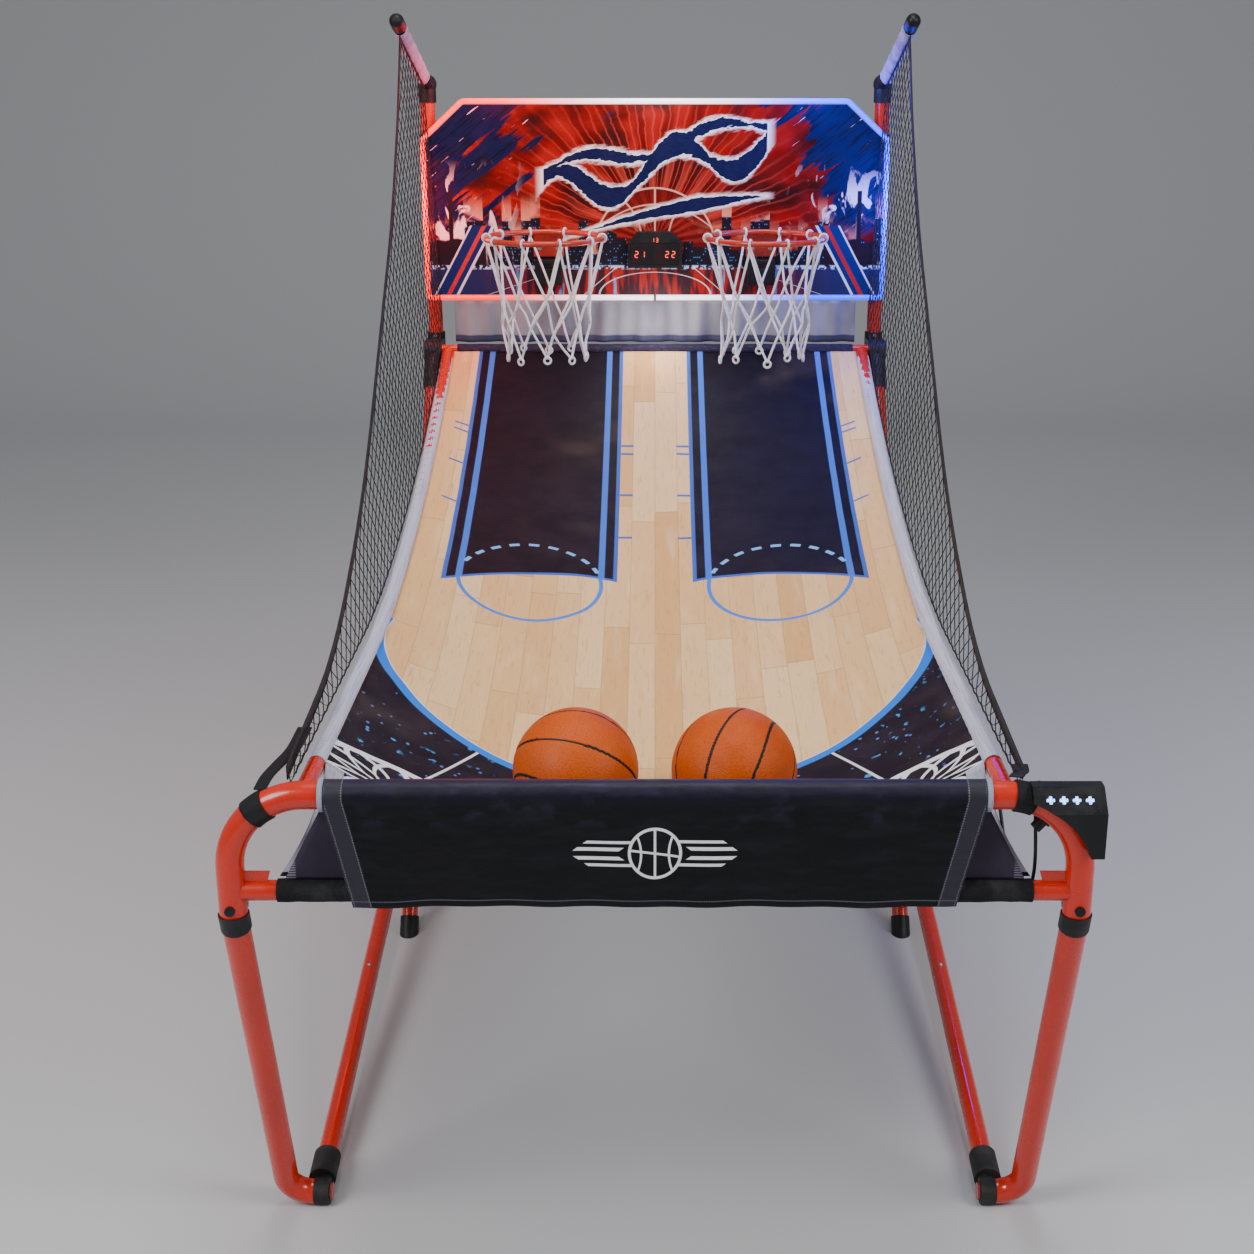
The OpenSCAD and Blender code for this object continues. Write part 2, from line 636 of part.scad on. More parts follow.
ramp_points = [for (k = [0, 1], i = [0:rows], j = [0:cols]) let(t = i / rows, u = 2 * j / cols - 1)
    [u * half_at(t), ramp_y(t), ramp_z(t, u) - k * cloth]];
function rp(k, i, j) = (k * (rows + 1) + i) * (cols + 1) + j;
ramp_faces = concat(
    [for (i = [0:rows - 1], j = [0:cols - 1]) [rp(0, i, j), rp(0, i + 1, j), rp(0, i + 1, j + 1)]],
    [for (i = [0:rows - 1], j = [0:cols - 1]) [rp(0, i, j), rp(0, i + 1, j + 1), rp(0, i, j + 1)]],
    [for (i = [0:rows - 1], j = [0:cols - 1]) [rp(1, i, j), rp(1, i + 1, j + 1), rp(1, i + 1, j)]],
    [for (i = [0:rows - 1], j = [0:cols - 1]) [rp(1, i, j), rp(1, i, j + 1), rp(1, i + 1, j + 1)]],
    [for (i = [0:rows - 1], s = [0, 1]) s == 0 ? [rp(0, i, 0), rp(1, i, 0), rp(1, i + 1, 0)]
        : [rp(0, i, cols), rp(1, i + 1, cols), rp(1, i, cols)]],
    [for (i = [0:rows - 1], s = [0, 1]) s == 0 ? [rp(0, i, 0), rp(1, i + 1, 0), rp(0, i + 1, 0)]
        : [rp(0, i, cols), rp(0, i + 1, cols), rp(1, i + 1, cols)]],
    [for (j = [0:cols - 1], s = [0, 1]) s == 0 ? [rp(0, 0, j), rp(1, 0, j + 1), rp(1, 0, j)]
        : [rp(0, rows, j), rp(1, rows, j), rp(1, rows, j + 1)]],
    [for (j = [0:cols - 1], s = [0, 1]) s == 0 ? [rp(0, 0, j), rp(0, 0, j + 1), rp(1, 0, j + 1)]
        : [rp(0, rows, j), rp(1, rows, j + 1), rp(0, rows, j + 1)]]);

module ramp() color([0.87, 0.68, 0.45]) place() polyhedron(ramp_points, ramp_faces);

panel_gap = 0.4;

module front_panel() color([0.05, 0.05, 0.07]) place() {
    translate([-panel_half, 0, front_height]) rotate([90, 0, 90]) linear_extrude(2 * panel_half) difference() {
        circle(r = front_r + panel_gap + 2);
        circle(r = front_r + panel_gap);
        translate([-60, -120]) square([120, 120]);
    }
    upright(-front_r - panel_gap - 2, 2) polygon([[-panel_half, front_height + eps], [panel_half, front_height + eps],
        [panel_low_half, lower_height - 14], [-panel_low_half, lower_height - 14]]);
}

module trough_curtain() color([0.15, 0.13, 0.18]) place() upright(-cloth / 2, cloth)
    polygon([[-panel_half - 5, front_height - front_r - 0.5], [panel_half + 5, front_height - front_r - 0.5],
        [sleeve_half - 12, lower_height + lower_r + 2.2], [-sleeve_half + 12, lower_height + lower_r + 2.2]]);

module lug_plate(x0, x1, z0, z1) {
    x_rod(x0, x1, leg_fold_y, leg_fold_z, lug_r);
    translate([x0, front_r - 3, z0]) cube([x1 - x0, leg_fold_y + lug_r - front_r + 3, z1 - z0]);
}

module hinge_lugs() color([0.06, 0.06, 0.06]) place() both() difference() {
    for (k = [-1, 1]) translate([leg_x + k * (lug_w / 2 + run_gap + 3), 0, 0])
        lug_plate(-3, 3, leg_fold_z, leg_fold_z + 44);
    z_rod(leg_x, 0, 0, front_height, front_r + seat_gap);
    x_rod(leg_x - 30, leg_x + 30, 0, lower_height, lower_r + seat_gap);
    x_rod(leg_x - 30, leg_x + 30, leg_fold_y, leg_fold_z, hinge_pin_r + pin_gap);
}

module collar_caps() color([0.03, 0.03, 0.03]) place() both() difference() {
    y_rod(leg_x, -front_r - 3, -front_r + 6, knuckle_height + 12, 7);
    z_rod(leg_x, 0, 0, front_height, front_r + 0.05);
}

// ---------- control box ----------
module box_slab(x0, x1, profile) translate([x0, 0, 0]) rotate([90, 0, 90]) linear_extrude(x1 - x0) polygon(profile);

module bend_room(r) {
    translate([bend_x, 0, bend_z]) rotate([90, 0, 0])
        rotate_extrude(angle = 90) translate([front_bend, 0]) circle(r = r);
    z_rod(leg_x, 0, bend_z - 60, bend_z + eps, r);
}

module box_cavity() difference() {
    box_slab(box_x0 + box_wall, box_x1 - box_wall, [[-box_d + box_wall, box_z0 + box_wall],
        [-box_d + box_wall, box_z1 - 27 - box_wall / 2], [-box_d + 30 + box_wall / 2, box_z1 - box_wall],
        [-box_wall, box_z1 - box_wall], [-box_wall, box_z0 + box_wall]]);
    y_rod(bend_x, -80, 80, bend_z, bend_cut + box_wall);
    bend_room(front_r + 0.5 + box_wall);
}

module plus(w, h) {
    translate([-w / 2, -w / 6, 0]) cube([w, w / 3, h]);
    translate([-w / 6, -w / 2, 0]) cube([w / 3, w, h]);
}

module on_slope(x) translate([x, slope_mid[0], slope_mid[1]]) rotate([slope_tilt, 0, 0]) children();

// The circuit board hangs from two posts moulded inside the sloping face
pcb_size = [56, 16, 1.6];
pcb_x = box_x1 - box_wall - 2 - pcb_size[0];
pcb_top = button_proud - button_h - button_travel - 0.3;
post_xs = [button_xs[1] + button_pitch / 2, button_xs[3] + button_pitch * 0.65];
post_r = 1.5;

module control_box() color([0.04, 0.04, 0.05]) place() {
    difference() {
        box_slab(box_x0, box_x1, box_profile);
        y_rod(bend_x, -80, 80, bend_z, bend_cut);
        bend_room(front_r + 0.3);
        box_cavity();
        for (x = button_xs) on_slope(x) translate([0, 0, -6]) plus(button_w + 2 * 0.35, 12);
    }
    for (x = post_xs) on_slope(x) translate([0, -6, pcb_top + seat_gap])
        cylinder(h = -pcb_top - seat_gap - box_wall / 2, r = post_r, $fn = 24);
}

module control_board() color([0.1, 0.35, 0.15]) place() on_slope(pcb_x)
    translate([0, -9, pcb_top - pcb_size[2]]) cube(pcb_size);

module control_clamp() color([0.05, 0.05, 0.05]) place() difference() {
    translate([bend_x, 0, bend_z]) rotate([90, 0, 0]) rotate([0, 0, clamp_angle - clamp_sweep / 2])
        rotate_extrude(angle = clamp_sweep) translate([front_bend, 0]) circle(r = front_r + clamp_wall);
    bend_room(front_r + seat_gap);
    translate([0, -60, 0]) cube([leg_x + 60, 60 + seat_gap, front_height + 60]);
}

knob_dir = [cos(clamp_angle), 0, sin(clamp_angle)];
knob_top = [bend_x, 12, bend_z] + (front_bend - front_r - clamp_wall - run_gap) * knob_dir;

module clamp_knob() color([0.05, 0.05, 0.05]) place() along(knob_top, knob_top - knob_dir * knob_h) difference() {
    cylinder(h = knob_h, r = knob_r);
    for (a = [0:45:315]) rotate([0, 0, a]) translate([knob_r + 1, 0, -1]) cylinder(h = knob_h - 2, r = 2.2);
}

module control_cable() color([0.03, 0.03, 0.03]) place() sweep([for (p = cable_path) p + cable_off], cable_r);

module button(i) color([0.3, 0.5, 1]) place() on_slope(button_xs[i])
    translate([0, 0, button_proud - button_h]) plus(button_w, button_h);

module button_1() button(0);

module button_2() button(1);

module button_3() button(2);

module button_4() button(3);

// ---------- front legs ----------
module leg_shape(r, extra, turn) {
    translate([0, 0, foot_bend]) cylinder(h = leg_len - foot_bend + extra, r = r);
    translate([-foot_bend, 0, foot_bend]) rotate([90, 0, 0]) rotate([0, 0, -turn])
        rotate_extrude(angle = turn) translate([foot_bend, 0]) circle(r = r);
}

module leg_frame() translate([leg_x, foot_back, foot_z]) rotate([lean, 0, 0]) children();

module top_cut() translate([leg_x - 60, -80, knuckle_height]) cube([120, 160, 80]);

stub_end = leg_x - foot_bend;

module front_leg() color("orangered") place() difference() {
    union() {
        difference() {
            leg_frame() leg_shape(front_r - 0.2, 20, 90);
            leg_frame() leg_shape(front_r - 0.2 - tube_wall, 40, 84);
        }
        x_rod(stub_end - 24, stub_end + 1, foot_back, foot_z, stub_r);
    }
    x_rod(stub_end - 30, stub_end - 4, foot_back, foot_z, bolt_r + 0.1);
    top_cut();
}

module front_leg_left() mirror([1, 0, 0]) front_leg();

module front_leg_right() front_leg();

module leg_collars() color([0.06, 0.06, 0.06]) place() both() difference() {
    union() {
        leg_frame() translate([0, 0, leg_len - collar_h]) cylinder(h = collar_h + 20, r = collar_r);
        translate([leg_x - lug_w / 2, 10, leg_fold_z - lug_r - 8])
            cube([lug_w, leg_fold_y - 10, 14]);
        x_rod(leg_x - lug_w / 2, leg_x + lug_w / 2, leg_fold_y, leg_fold_z, lug_r);
    }
    leg_frame() cylinder(h = leg_len + 60, r = front_r - 0.2 + seat_gap);
    x_rod(leg_x - 30, leg_x + 30, leg_fold_y, leg_fold_z, hinge_pin_r + pin_gap / 2);
    translate([leg_x - 60, -80, knuckle_height]) cube([120, 80 + leg_fold_y - lug_r - 1.5, 80]);
}

module hinge_pins() color("silver") place() both() {
    x_rod(leg_x - lug_w / 2 - run_gap - 7, leg_x + lug_w / 2 + run_gap + 7, leg_fold_y, leg_fold_z, hinge_pin_r);
    x_rod(leg_x + lug_w / 2 + run_gap + 6.5, leg_x + lug_w / 2 + run_gap + 9, leg_fold_y, leg_fold_z, 5);
}

module foot_bolts() color([0.2, 0.2, 0.2]) place() both() {
    x_rod(leg_x - foot_bend - 28, leg_x - foot_bend - 24.2, foot_back, foot_z, 13);
    x_rod(leg_x - foot_bend - 25, leg_x - foot_bend - 5, foot_back, foot_z, bolt_r);
}

// ---------- base rails ----------
module on_rail() along(rail_front, rail_rear) children();

// Direction of the snap button, square to the rail and upwards
rail_dir = rail_vec / rail_len;
snap_up = [0, 0, 1] - rail_dir[2] * rail_dir;
snap_dir = snap_up / norm(snap_up);
snap_at = rail_front + rail_dir * snap_along;

module base_rail() difference() {
    on_rail() difference() {
        translate([0, 0, boot_start + 4]) cylinder(h = rail_len + rail_tail - boot_start - 4, r = base_r);
        cylinder(h = rail_len + rail_tail + 1, r = base_r - tube_wall);
    }
    x_rod(rail_rear_x - 40, rail_rear_x + 40, rail_rear[1], rail_rear[2], bolt_r + 0.1);
    rod(snap_at, snap_at + snap_dir * 40, snap_r + pin_gap);
}

module base_rails() color("orangered") place() both() base_rail();

module foot_boots() color([0.03, 0.03, 0.03]) place() both() difference() {
    union() {
        x_rod(leg_x - foot_bend - 23.6, leg_x - foot_bend - run_gap, foot_back, foot_z, foot_r);
        x_rod(leg_x - foot_bend - 20, leg_x - foot_bend - 2, foot_back + 16, foot_z + 2, 11);
        on_rail() translate([0, 0, boot_start]) cylinder(h = boot_len, r = base_r + 5);
        rod(rail_front - [5, 0, 0], rail_front + rail_dir * (boot_start + 1) - [5, 0, 0], 10);
    }
    x_rod(leg_x - foot_bend - 40, leg_x - foot_bend + 10, foot_back, foot_z, stub_r + pin_gap);
    on_rail() translate([0, 0, boot_start + 4 - seat_gap]) cylinder(h = 100, r = base_r + seat_gap);
}

module rail_bolts() color("silver") place() both() {
    x_rod(rail_rear_x - base_r - 1.5, rail_rear_x + base_r + 1, rail_rear[1], rail_rear[2], bolt_r);
    x_rod(rail_rear_x + base_r + 0.3, rail_rear_x + base_r + 4, rail_rear[1], rail_rear[2], 7);
}

module snap_button() color("silver") place() along(snap_at, snap_at + snap_dir) translate([0, 0, base_r - 7])
    rotate_extrude() polygon(concat([[0, 0], [snap_r, 0]],
        [for (a = [0:15:90]) [snap_r * cos(a), 7.5 + snap_r * 0.6 * sin(a)]]));

module snap_button_left() mirror([1, 0, 0]) snap_button();

module snap_button_right() snap_button();

// ---------- balls ----------
// Seat of the inflation valve, on the ball's outer side
valve_r = 3;
valve_depth = 2;

module ball(x) color([0.8, 0.35, 0.1]) place() translate([x, ball_back, ball_z]) difference() {
    sphere(r = ball_radius);
    sphere(r = ball_radius - ball_wall);
    x_rod(x > 0 ? ball_radius - valve_depth : -ball_radius - 1,
        x > 0 ? ball_radius + 1 : valve_depth - ball_radius, 0, 0, valve_r);
}

module ball_left() ball(-ball_x);

module ball_right() ball(ball_x);

rear_post_left();
rear_post_right();
rear_leg_left();
rear_leg_right();
post_foot_caps();
rear_leg_caps();
rear_cross_bar();
frame_clamps();
clamp_screws();
arm_joiners();
net_arms();
arm_caps();
arm_sleeves();
backboard();
board_brackets();
board_screws();
led_tube();
hoop_left();
hoop_right();
hoop_screws();
hoop_net_left();
hoop_net_right();
score_sensors();
scoreboard_case();
scoreboard_lens();
rear_curtain();
side_net_left();
side_net_right();
front_tube();
lower_cross_tube();
lower_sleeve();
side_rails();
ramp_top_bar();
ramp();
front_panel();
trough_curtain();
hinge_lugs();
collar_caps();
control_box();
control_board();
control_clamp();
control_cable();
button_1();
button_2();
button_3();
button_4();
clamp_knob();
front_leg_left();
front_leg_right();
leg_collars();
hinge_pins();
foot_bolts();
base_rails();
foot_boots();
rail_bolts();
snap_button_left();
snap_button_right();
ball_left();
ball_right();
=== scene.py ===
"""Folding two-hoop basketball machine, dressed piece by piece in the order it is put together."""

import math
import random

import bmesh
import bpy
from mathutils import Matrix, Vector


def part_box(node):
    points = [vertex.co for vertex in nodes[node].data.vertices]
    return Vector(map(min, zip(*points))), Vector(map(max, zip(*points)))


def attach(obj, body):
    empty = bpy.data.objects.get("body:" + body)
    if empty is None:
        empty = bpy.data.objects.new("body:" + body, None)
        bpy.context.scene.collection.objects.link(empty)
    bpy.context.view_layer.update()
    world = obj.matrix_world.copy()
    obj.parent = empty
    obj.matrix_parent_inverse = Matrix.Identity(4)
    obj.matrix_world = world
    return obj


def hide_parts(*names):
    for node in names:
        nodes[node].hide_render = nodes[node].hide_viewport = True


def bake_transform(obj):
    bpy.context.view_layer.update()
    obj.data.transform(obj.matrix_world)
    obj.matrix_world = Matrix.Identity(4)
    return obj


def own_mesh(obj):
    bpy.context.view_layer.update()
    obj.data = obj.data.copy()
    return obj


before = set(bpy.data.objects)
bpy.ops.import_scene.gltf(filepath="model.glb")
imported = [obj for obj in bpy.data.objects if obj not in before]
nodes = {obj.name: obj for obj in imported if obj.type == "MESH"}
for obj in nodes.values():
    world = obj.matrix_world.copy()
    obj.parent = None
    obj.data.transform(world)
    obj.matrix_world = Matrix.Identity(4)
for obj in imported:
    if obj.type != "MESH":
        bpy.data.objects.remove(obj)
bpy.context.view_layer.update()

# ---- Camera, floor and studio lights ----
# Not part of the machine: a pale floor that turns up into a wall, a camera above the player's
# head, and large soft lights on both sides.
front_tube_y = -0.9365
both_sides = ((-1, "left"), (1, "right"))


def at(x, y, z):
    """A place measured from the middle of the floor under the front tube."""
    return Vector((x, y + front_tube_y, z))


eye = bpy.data.objects.new("eye", bpy.data.cameras.new("eye"))
bpy.context.scene.collection.objects.link(eye)
bpy.context.scene.camera = eye
eye.location = at(0, -2.171, 1.720)
eye.rotation_euler = (math.radians(90 - 18.3), 0, 0)
eye.data.lens, eye.data.sensor_width, eye.data.shift_x = 51.67, 36, -0.0223

room_mesh = bmesh.new()
bmesh.ops.create_grid(room_mesh, x_segments=1, y_segments=1, size=7.0)
far_edges = [e for e in room_mesh.edges if all(v.co.y > 1 for v in e.verts)]
raised = bmesh.ops.extrude_edge_only(room_mesh, edges=far_edges)
raised_verts = [v for v in raised["geom"] if isinstance(v, bmesh.types.BMVert)]
bmesh.ops.translate(room_mesh, verts=raised_verts, vec=(0, 0, 6))
corner = [e for e in room_mesh.edges if all(abs(v.co.z) < 0.001 and v.co.y > 1 for v in e.verts)]
bmesh.ops.bevel(room_mesh, geom=corner, offset=2.0, segments=16, profile=0.5, affect="EDGES", material=-1)
for f in room_mesh.faces:
    f.smooth = True
room_data = bpy.data.meshes.new("studio_floor")
room_mesh.to_mesh(room_data)
studio_floor = bpy.data.objects.new("studio_floor", room_data)
bpy.context.scene.collection.objects.link(studio_floor)

room_paint = bpy.data.materials.new("studio_floor")
room_paint.use_nodes = True
room_paint.node_tree.nodes["Principled BSDF"].inputs["Base Color"].default_value = (0.55, 0.55, 0.56, 1)
room_paint.node_tree.nodes["Principled BSDF"].inputs["Roughness"].default_value = 0.75
room_data.materials.append(room_paint)

world = bpy.data.worlds.new("studio")
bpy.context.scene.world = world
world.use_nodes = True
world.node_tree.nodes["Background"].inputs["Color"].default_value = (0.92, 0.95, 1.0, 1)
world.node_tree.nodes["Background"].inputs["Strength"].default_value = 0.30


def soft_light(name, place, aim, size, watts):
    """A square soft box at a place, turned towards a point."""
    lamp = bpy.data.objects.new(name, bpy.data.lights.new(name, "AREA"))
    lamp.data.shape, lamp.data.size, lamp.data.energy = "SQUARE", size, watts
    lamp.location = place
    lamp.rotation_euler = (Vector(aim) - Vector(place)).to_track_quat("-Z", "Y").to_euler()
    bpy.context.scene.collection.objects.link(lamp)
    return lamp


soft_light("left_softbox", (-2.6, -2.6, 3.0), (0, -0.2, 0.8), 1.6, 100)
soft_light("right_softbox", (2.6, -2.2, 2.8), (0, -0.2, 0.8), 1.6, 70)
soft_light("top_softbox", (0, -0.3, 4.2), (0, -0.2, 0.8), 1.8, 60)


class Reading:
    """One number that varies over a finish, so that patterns can be written as sums."""

    def __init__(self, tree, socket):
        self.tree, self.socket = tree, socket

    def sum(self, kind, *others):
        step = self.tree.nodes.new("ShaderNodeMath")
        step.operation = kind
        for place, item in enumerate((self, *others)):
            if isinstance(item, Reading):
                self.tree.links.new(item.socket, step.inputs[place])
            else:
                step.inputs[place].default_value = item
        return Reading(self.tree, step.outputs[0])

    def __add__(self, other): return self.sum("ADD", other)
    def __sub__(self, other): return self.sum("SUBTRACT", other)
    def __mul__(self, other): return self.sum("MULTIPLY", other)
    def __truediv__(self, other): return self.sum("DIVIDE", other)
    def size(self): return self.sum("ABSOLUTE")
    def either(self, other): return self.sum("MAXIMUM", other)
    def both(self, other): return self.sum("MINIMUM", other)
    def off(self): return (self * -1) + 1
    def over(self, edge, soft=0.001): return self.spread(edge - soft, edge + soft)
    def under(self, edge, soft=0.001): return self.over(edge, soft).off()
    def within(self, low, high, soft=0.001): return self.over(low, soft).both(self.under(high, soft))

    def from_middle(self):
        """How far from the middle of each whole step: half at a step's ends, none in its middle."""
        return (self.sum("FRACT") - 0.5).size()

    def across(self, other):
        """The straight distance that two ways across make together."""
        return ((self * self) + (other * other)).sum("SQRT")

    def spread(self, low, high, to_low=0.0, to_high=1.0, smooth=True):
        step = self.tree.nodes.new("ShaderNodeMapRange")
        step.interpolation_type = "SMOOTHSTEP" if smooth else "LINEAR"
        for name, value in (("From Min", low), ("From Max", high), ("To Min", to_low), ("To Max", to_high)):
            step.inputs[name].default_value = value
        self.tree.links.new(self.socket, step.inputs["Value"])
        return Reading(self.tree, step.outputs["Result"])


class Finish:
    """A node material in the making: colours are laid one over another, and heights add up to a bump."""

    def __init__(self, name, rough, metal=0.0, coat=0.0, shine=0.5, on="Object"):
        self.material = bpy.data.materials.new(name)
        self.material.use_nodes = True
        self.tree = self.material.node_tree
        self.skin = self.tree.nodes["Principled BSDF"]
        self.skin.inputs["Roughness"].default_value = rough
        self.skin.inputs["Metallic"].default_value = metal
        self.skin.inputs["Coat Weight"].default_value = coat
        self.skin.inputs["Specular IOR Level"].default_value = shine
        place = self.tree.nodes.new("ShaderNodeTexCoord").outputs[on]
        split = self.tree.nodes.new("ShaderNodeSeparateXYZ")
        self.tree.links.new(place, split.inputs[0])
        self.place = place
        self.x, self.y, self.z = (Reading(self.tree, split.outputs[k]) for k in range(3))
        self.top = None
        self.height = None

    def stretched(self, sizes, turn=(0, 0, 0)):
        step = self.tree.nodes.new("ShaderNodeMapping")
        step.vector_type = "TEXTURE"
        step.inputs["Scale"].default_value = [1 / size for size in sizes]
        step.inputs["Rotation"].default_value = turn
        self.tree.links.new(self.place, step.inputs["Vector"])
        return step.outputs[0]

    def noise(self, scale, detail=3.0, sizes=None, turn=(0, 0, 0), warp=0.0):
        step = self.tree.nodes.new("ShaderNodeTexNoise")
        step.inputs["Scale"].default_value = scale
        step.inputs["Detail"].default_value = detail
        step.inputs["Distortion"].default_value = warp
        self.tree.links.new(self.stretched(sizes, turn) if sizes else self.place, step.inputs["Vector"])
        return Reading(self.tree, step.outputs["Fac"])

    def cells(self, scale):
        step = self.tree.nodes.new("ShaderNodeTexVoronoi")
        step.inputs["Scale"].default_value = scale
        self.tree.links.new(self.place, step.inputs["Vector"])
        return Reading(self.tree, step.outputs["Distance"])

    def ripple(self, scale, along="X"):
        step = self.tree.nodes.new("ShaderNodeTexWave")
        step.bands_direction = along
        step.inputs["Scale"].default_value = scale
        self.tree.links.new(self.place, step.inputs["Vector"])
        return Reading(self.tree, step.outputs["Fac"])

    def lay(self, colour, share=1.0):
        """One more colour over what is there, as far as share says."""
        if self.top is None:
            first = self.tree.nodes.new("ShaderNodeRGB")
            first.outputs[0].default_value = (*colour, 1)
            self.top = first.outputs[0]
            return self
        step = self.tree.nodes.new("ShaderNodeMix")
        step.data_type = "RGBA"
        self.tree.links.new(self.top, step.inputs[6])
        step.inputs[7].default_value = (*colour, 1)
        if isinstance(share, Reading):
            self.tree.links.new(share.socket, step.inputs[0])
        else:
            step.inputs[0].default_value = share
        self.top = step.outputs[2]
        return self

    def raise_by(self, height):
        self.height = height if self.height is None else self.height + height
        return self

    def done(self, depth=0.0005, rough=None, glow=None):
        self.tree.links.new(self.top, self.skin.inputs["Base Color"])
        if self.height is not None:
            bump = self.tree.nodes.new("ShaderNodeBump")
            bump.inputs["Strength"].default_value = 1.0
            bump.inputs["Distance"].default_value = depth
            self.tree.links.new(self.height.socket, bump.inputs["Height"])
            self.tree.links.new(bump.outputs[0], self.skin.inputs["Normal"])
        if rough is not None:
            self.tree.links.new(rough.socket, self.skin.inputs["Roughness"])
        if glow is not None:
            self.tree.links.new(self.top, self.skin.inputs["Emission Color"])
            self.skin.inputs["Emission Strength"].default_value = glow
        return self.material


def dress(material, *names):
    """Gives pieces of the plain model their finish."""
    for name in names:
        nodes[name].data.materials.clear()
        nodes[name].data.materials.append(material)


def powder_coat(name, base, dark, bright):
    coat = Finish(name, 0.24, coat=0.4)
    coat.lay(base).lay(dark, coat.noise(7, 3).spread(0.45, 0.85, 0, 0.35))
    coat.lay(bright, coat.noise(2.2, 2).spread(0.45, 0.8, 0, 0.35))
    coat.lay(dark, coat.noise(240, 2, sizes=(1, 1, 0.15)).spread(0.68, 0.8, 0, 0.3))
    coat.raise_by(coat.noise(420, 2) * 0.4)
    return coat.done(0.0003, coat.noise(30, 4).spread(0.3, 0.75, 0.18, 0.36))


frame_paint = powder_coat("frame_paint", (0.60, 0.016, 0.001), (0.32, 0.006, 0.001), (0.72, 0.034, 0.003))
dress(frame_paint, "rear_post_left", "rear_post_right", "rear_leg_left", "rear_leg_right", "rear_cross_bar",
      "front_tube", "lower_cross_tube", "side_rails", "ramp_top_bar", "front_leg_left", "front_leg_right",
      "base_rails")
arm_paint = powder_coat("arm_paint", (0.05, 0.05, 0.055), (0.02, 0.02, 0.022), (0.09, 0.09, 0.10))
dress(arm_paint, "net_arms")

# ---- Clamps, caps, lugs and collars ----
# Moulded black polypropylene with a fine spark texture, a little polished where hands touch it.
moulding = Finish("moulded_black", 0.45, shine=0.35)
moulding.lay((0.005, 0.005, 0.006)).lay((0.016, 0.016, 0.018), moulding.noise(14, 4).spread(0.4, 0.8, 0, 0.7))
moulding.lay((0.05, 0.05, 0.055), moulding.noise(700, 2).spread(0.62, 0.8, 0, 0.2))
moulding.raise_by(moulding.cells(1400) * 0.6)
moulded_black = moulding.done(0.0002, moulding.noise(40, 4).spread(0.3, 0.75, 0.33, 0.6))
dress(moulded_black, "post_foot_caps", "rear_leg_caps", "frame_clamps", "arm_joiners", "arm_caps",
      "board_brackets", "score_sensors", "scoreboard_case", "hinge_lugs", "collar_caps", "leg_collars",
      "control_clamp", "clamp_knob", "control_box")

# ---- Screws, pins and bolts ----
# Zinc-plated steel with fine turning marks and a slightly dulled plating.
zinc = Finish("zinc_steel", 0.3, metal=1.0)
zinc.lay((0.55, 0.56, 0.58)).lay((0.32, 0.32, 0.33), zinc.noise(120, 4).spread(0.4, 0.75, 0, 0.7))
zinc.raise_by(zinc.noise(900, 2, sizes=(1, 0.1, 1)))
zinc_steel = zinc.done(0.0001, zinc.noise(200, 3).spread(0.3, 0.7, 0.22, 0.45))
dress(zinc_steel, "clamp_screws", "board_screws", "hoop_screws", "hinge_pins", "rail_bolts",
      "snap_button_left", "snap_button_right")
red_end = powder_coat("bolt_head_red", (0.35, 0.03, 0.02), (0.12, 0.01, 0.01), (0.5, 0.06, 0.03))
dress(red_end, "foot_bolts")

# ---- Playfield cloth ----
# One piece of printed polyester, sewn round the two side rails, so that it hangs as a scoop. It is
# printed with a maple floor, two dark keys and a dark front apron with net drawings.
cloth_front, cloth_back, half_at_front, front_edge = 0.003, 1.8248, 0.455, 0.762
flare_run = 0.119


def cloth_share(y):
    return (y - cloth_front) / (cloth_back - cloth_front)


def cloth_half(y):
    corner_flare = max(0.0, 1 - (y - cloth_front) / flare_run)
    return half_at_front - 0.008 * cloth_share(y) + 0.045 * corner_flare ** 2


def cloth_edge(y):
    corner_flare = max(0.0, 1 - (y - cloth_front) / flare_run)
    return front_edge + 0.283 * max(0.0, (cloth_share(y) - 0.35) / 0.65) ** 1.7 - 0.110 * corner_flare


def cloth_middle(y):
    share = cloth_share(y)
    if share < 0.08:
        return 0.635 + 0.016 * (1 - share / 0.08) ** 2
    return 0.635 + 0.410 * ((share - 0.08) / 0.92) ** 1.9


def cloth_top(x, y):
    side = abs(x) / cloth_half(y)
    low = cloth_middle(y)
    return low + (cloth_edge(y) - low) * min(1.0, side) ** 2.5


def piece(name, mesh, material, body, stands_for=(), smooth=True, fix_normals=False):
    """Turns a finished mesh into a piece that rides on a body."""
    if fix_normals:
        bmesh.ops.recalc_face_normals(mesh, faces=mesh.faces[:])
    for f in mesh.faces:
        f.smooth = smooth
    data = bpy.data.meshes.new(name)
    mesh.to_mesh(data)
    mesh.free()
    data.materials.append(material)
    made = bpy.data.objects.new(name, data)
    bpy.context.scene.collection.objects.link(made)
    if body:
        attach(made, body)
    if stands_for:
        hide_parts(*stands_for)
    return made


def sewn_sheet(across, along, place):
    """A flat grid whose corners are laid where place(u, v) says, with its UV map in u and v."""
    mesh = bmesh.new()
    bmesh.ops.create_grid(mesh, x_segments=across, y_segments=along, size=0.5)
    print_map = mesh.loops.layers.uv.new("flat")
    for f in mesh.faces:
        for loop in f.loops:
            loop[print_map].uv = (loop.vert.co.x + 0.5, loop.vert.co.y + 0.5)
    for v in mesh.verts:
        v.co = place(v.co.x + 0.5, v.co.y + 0.5)
    return mesh


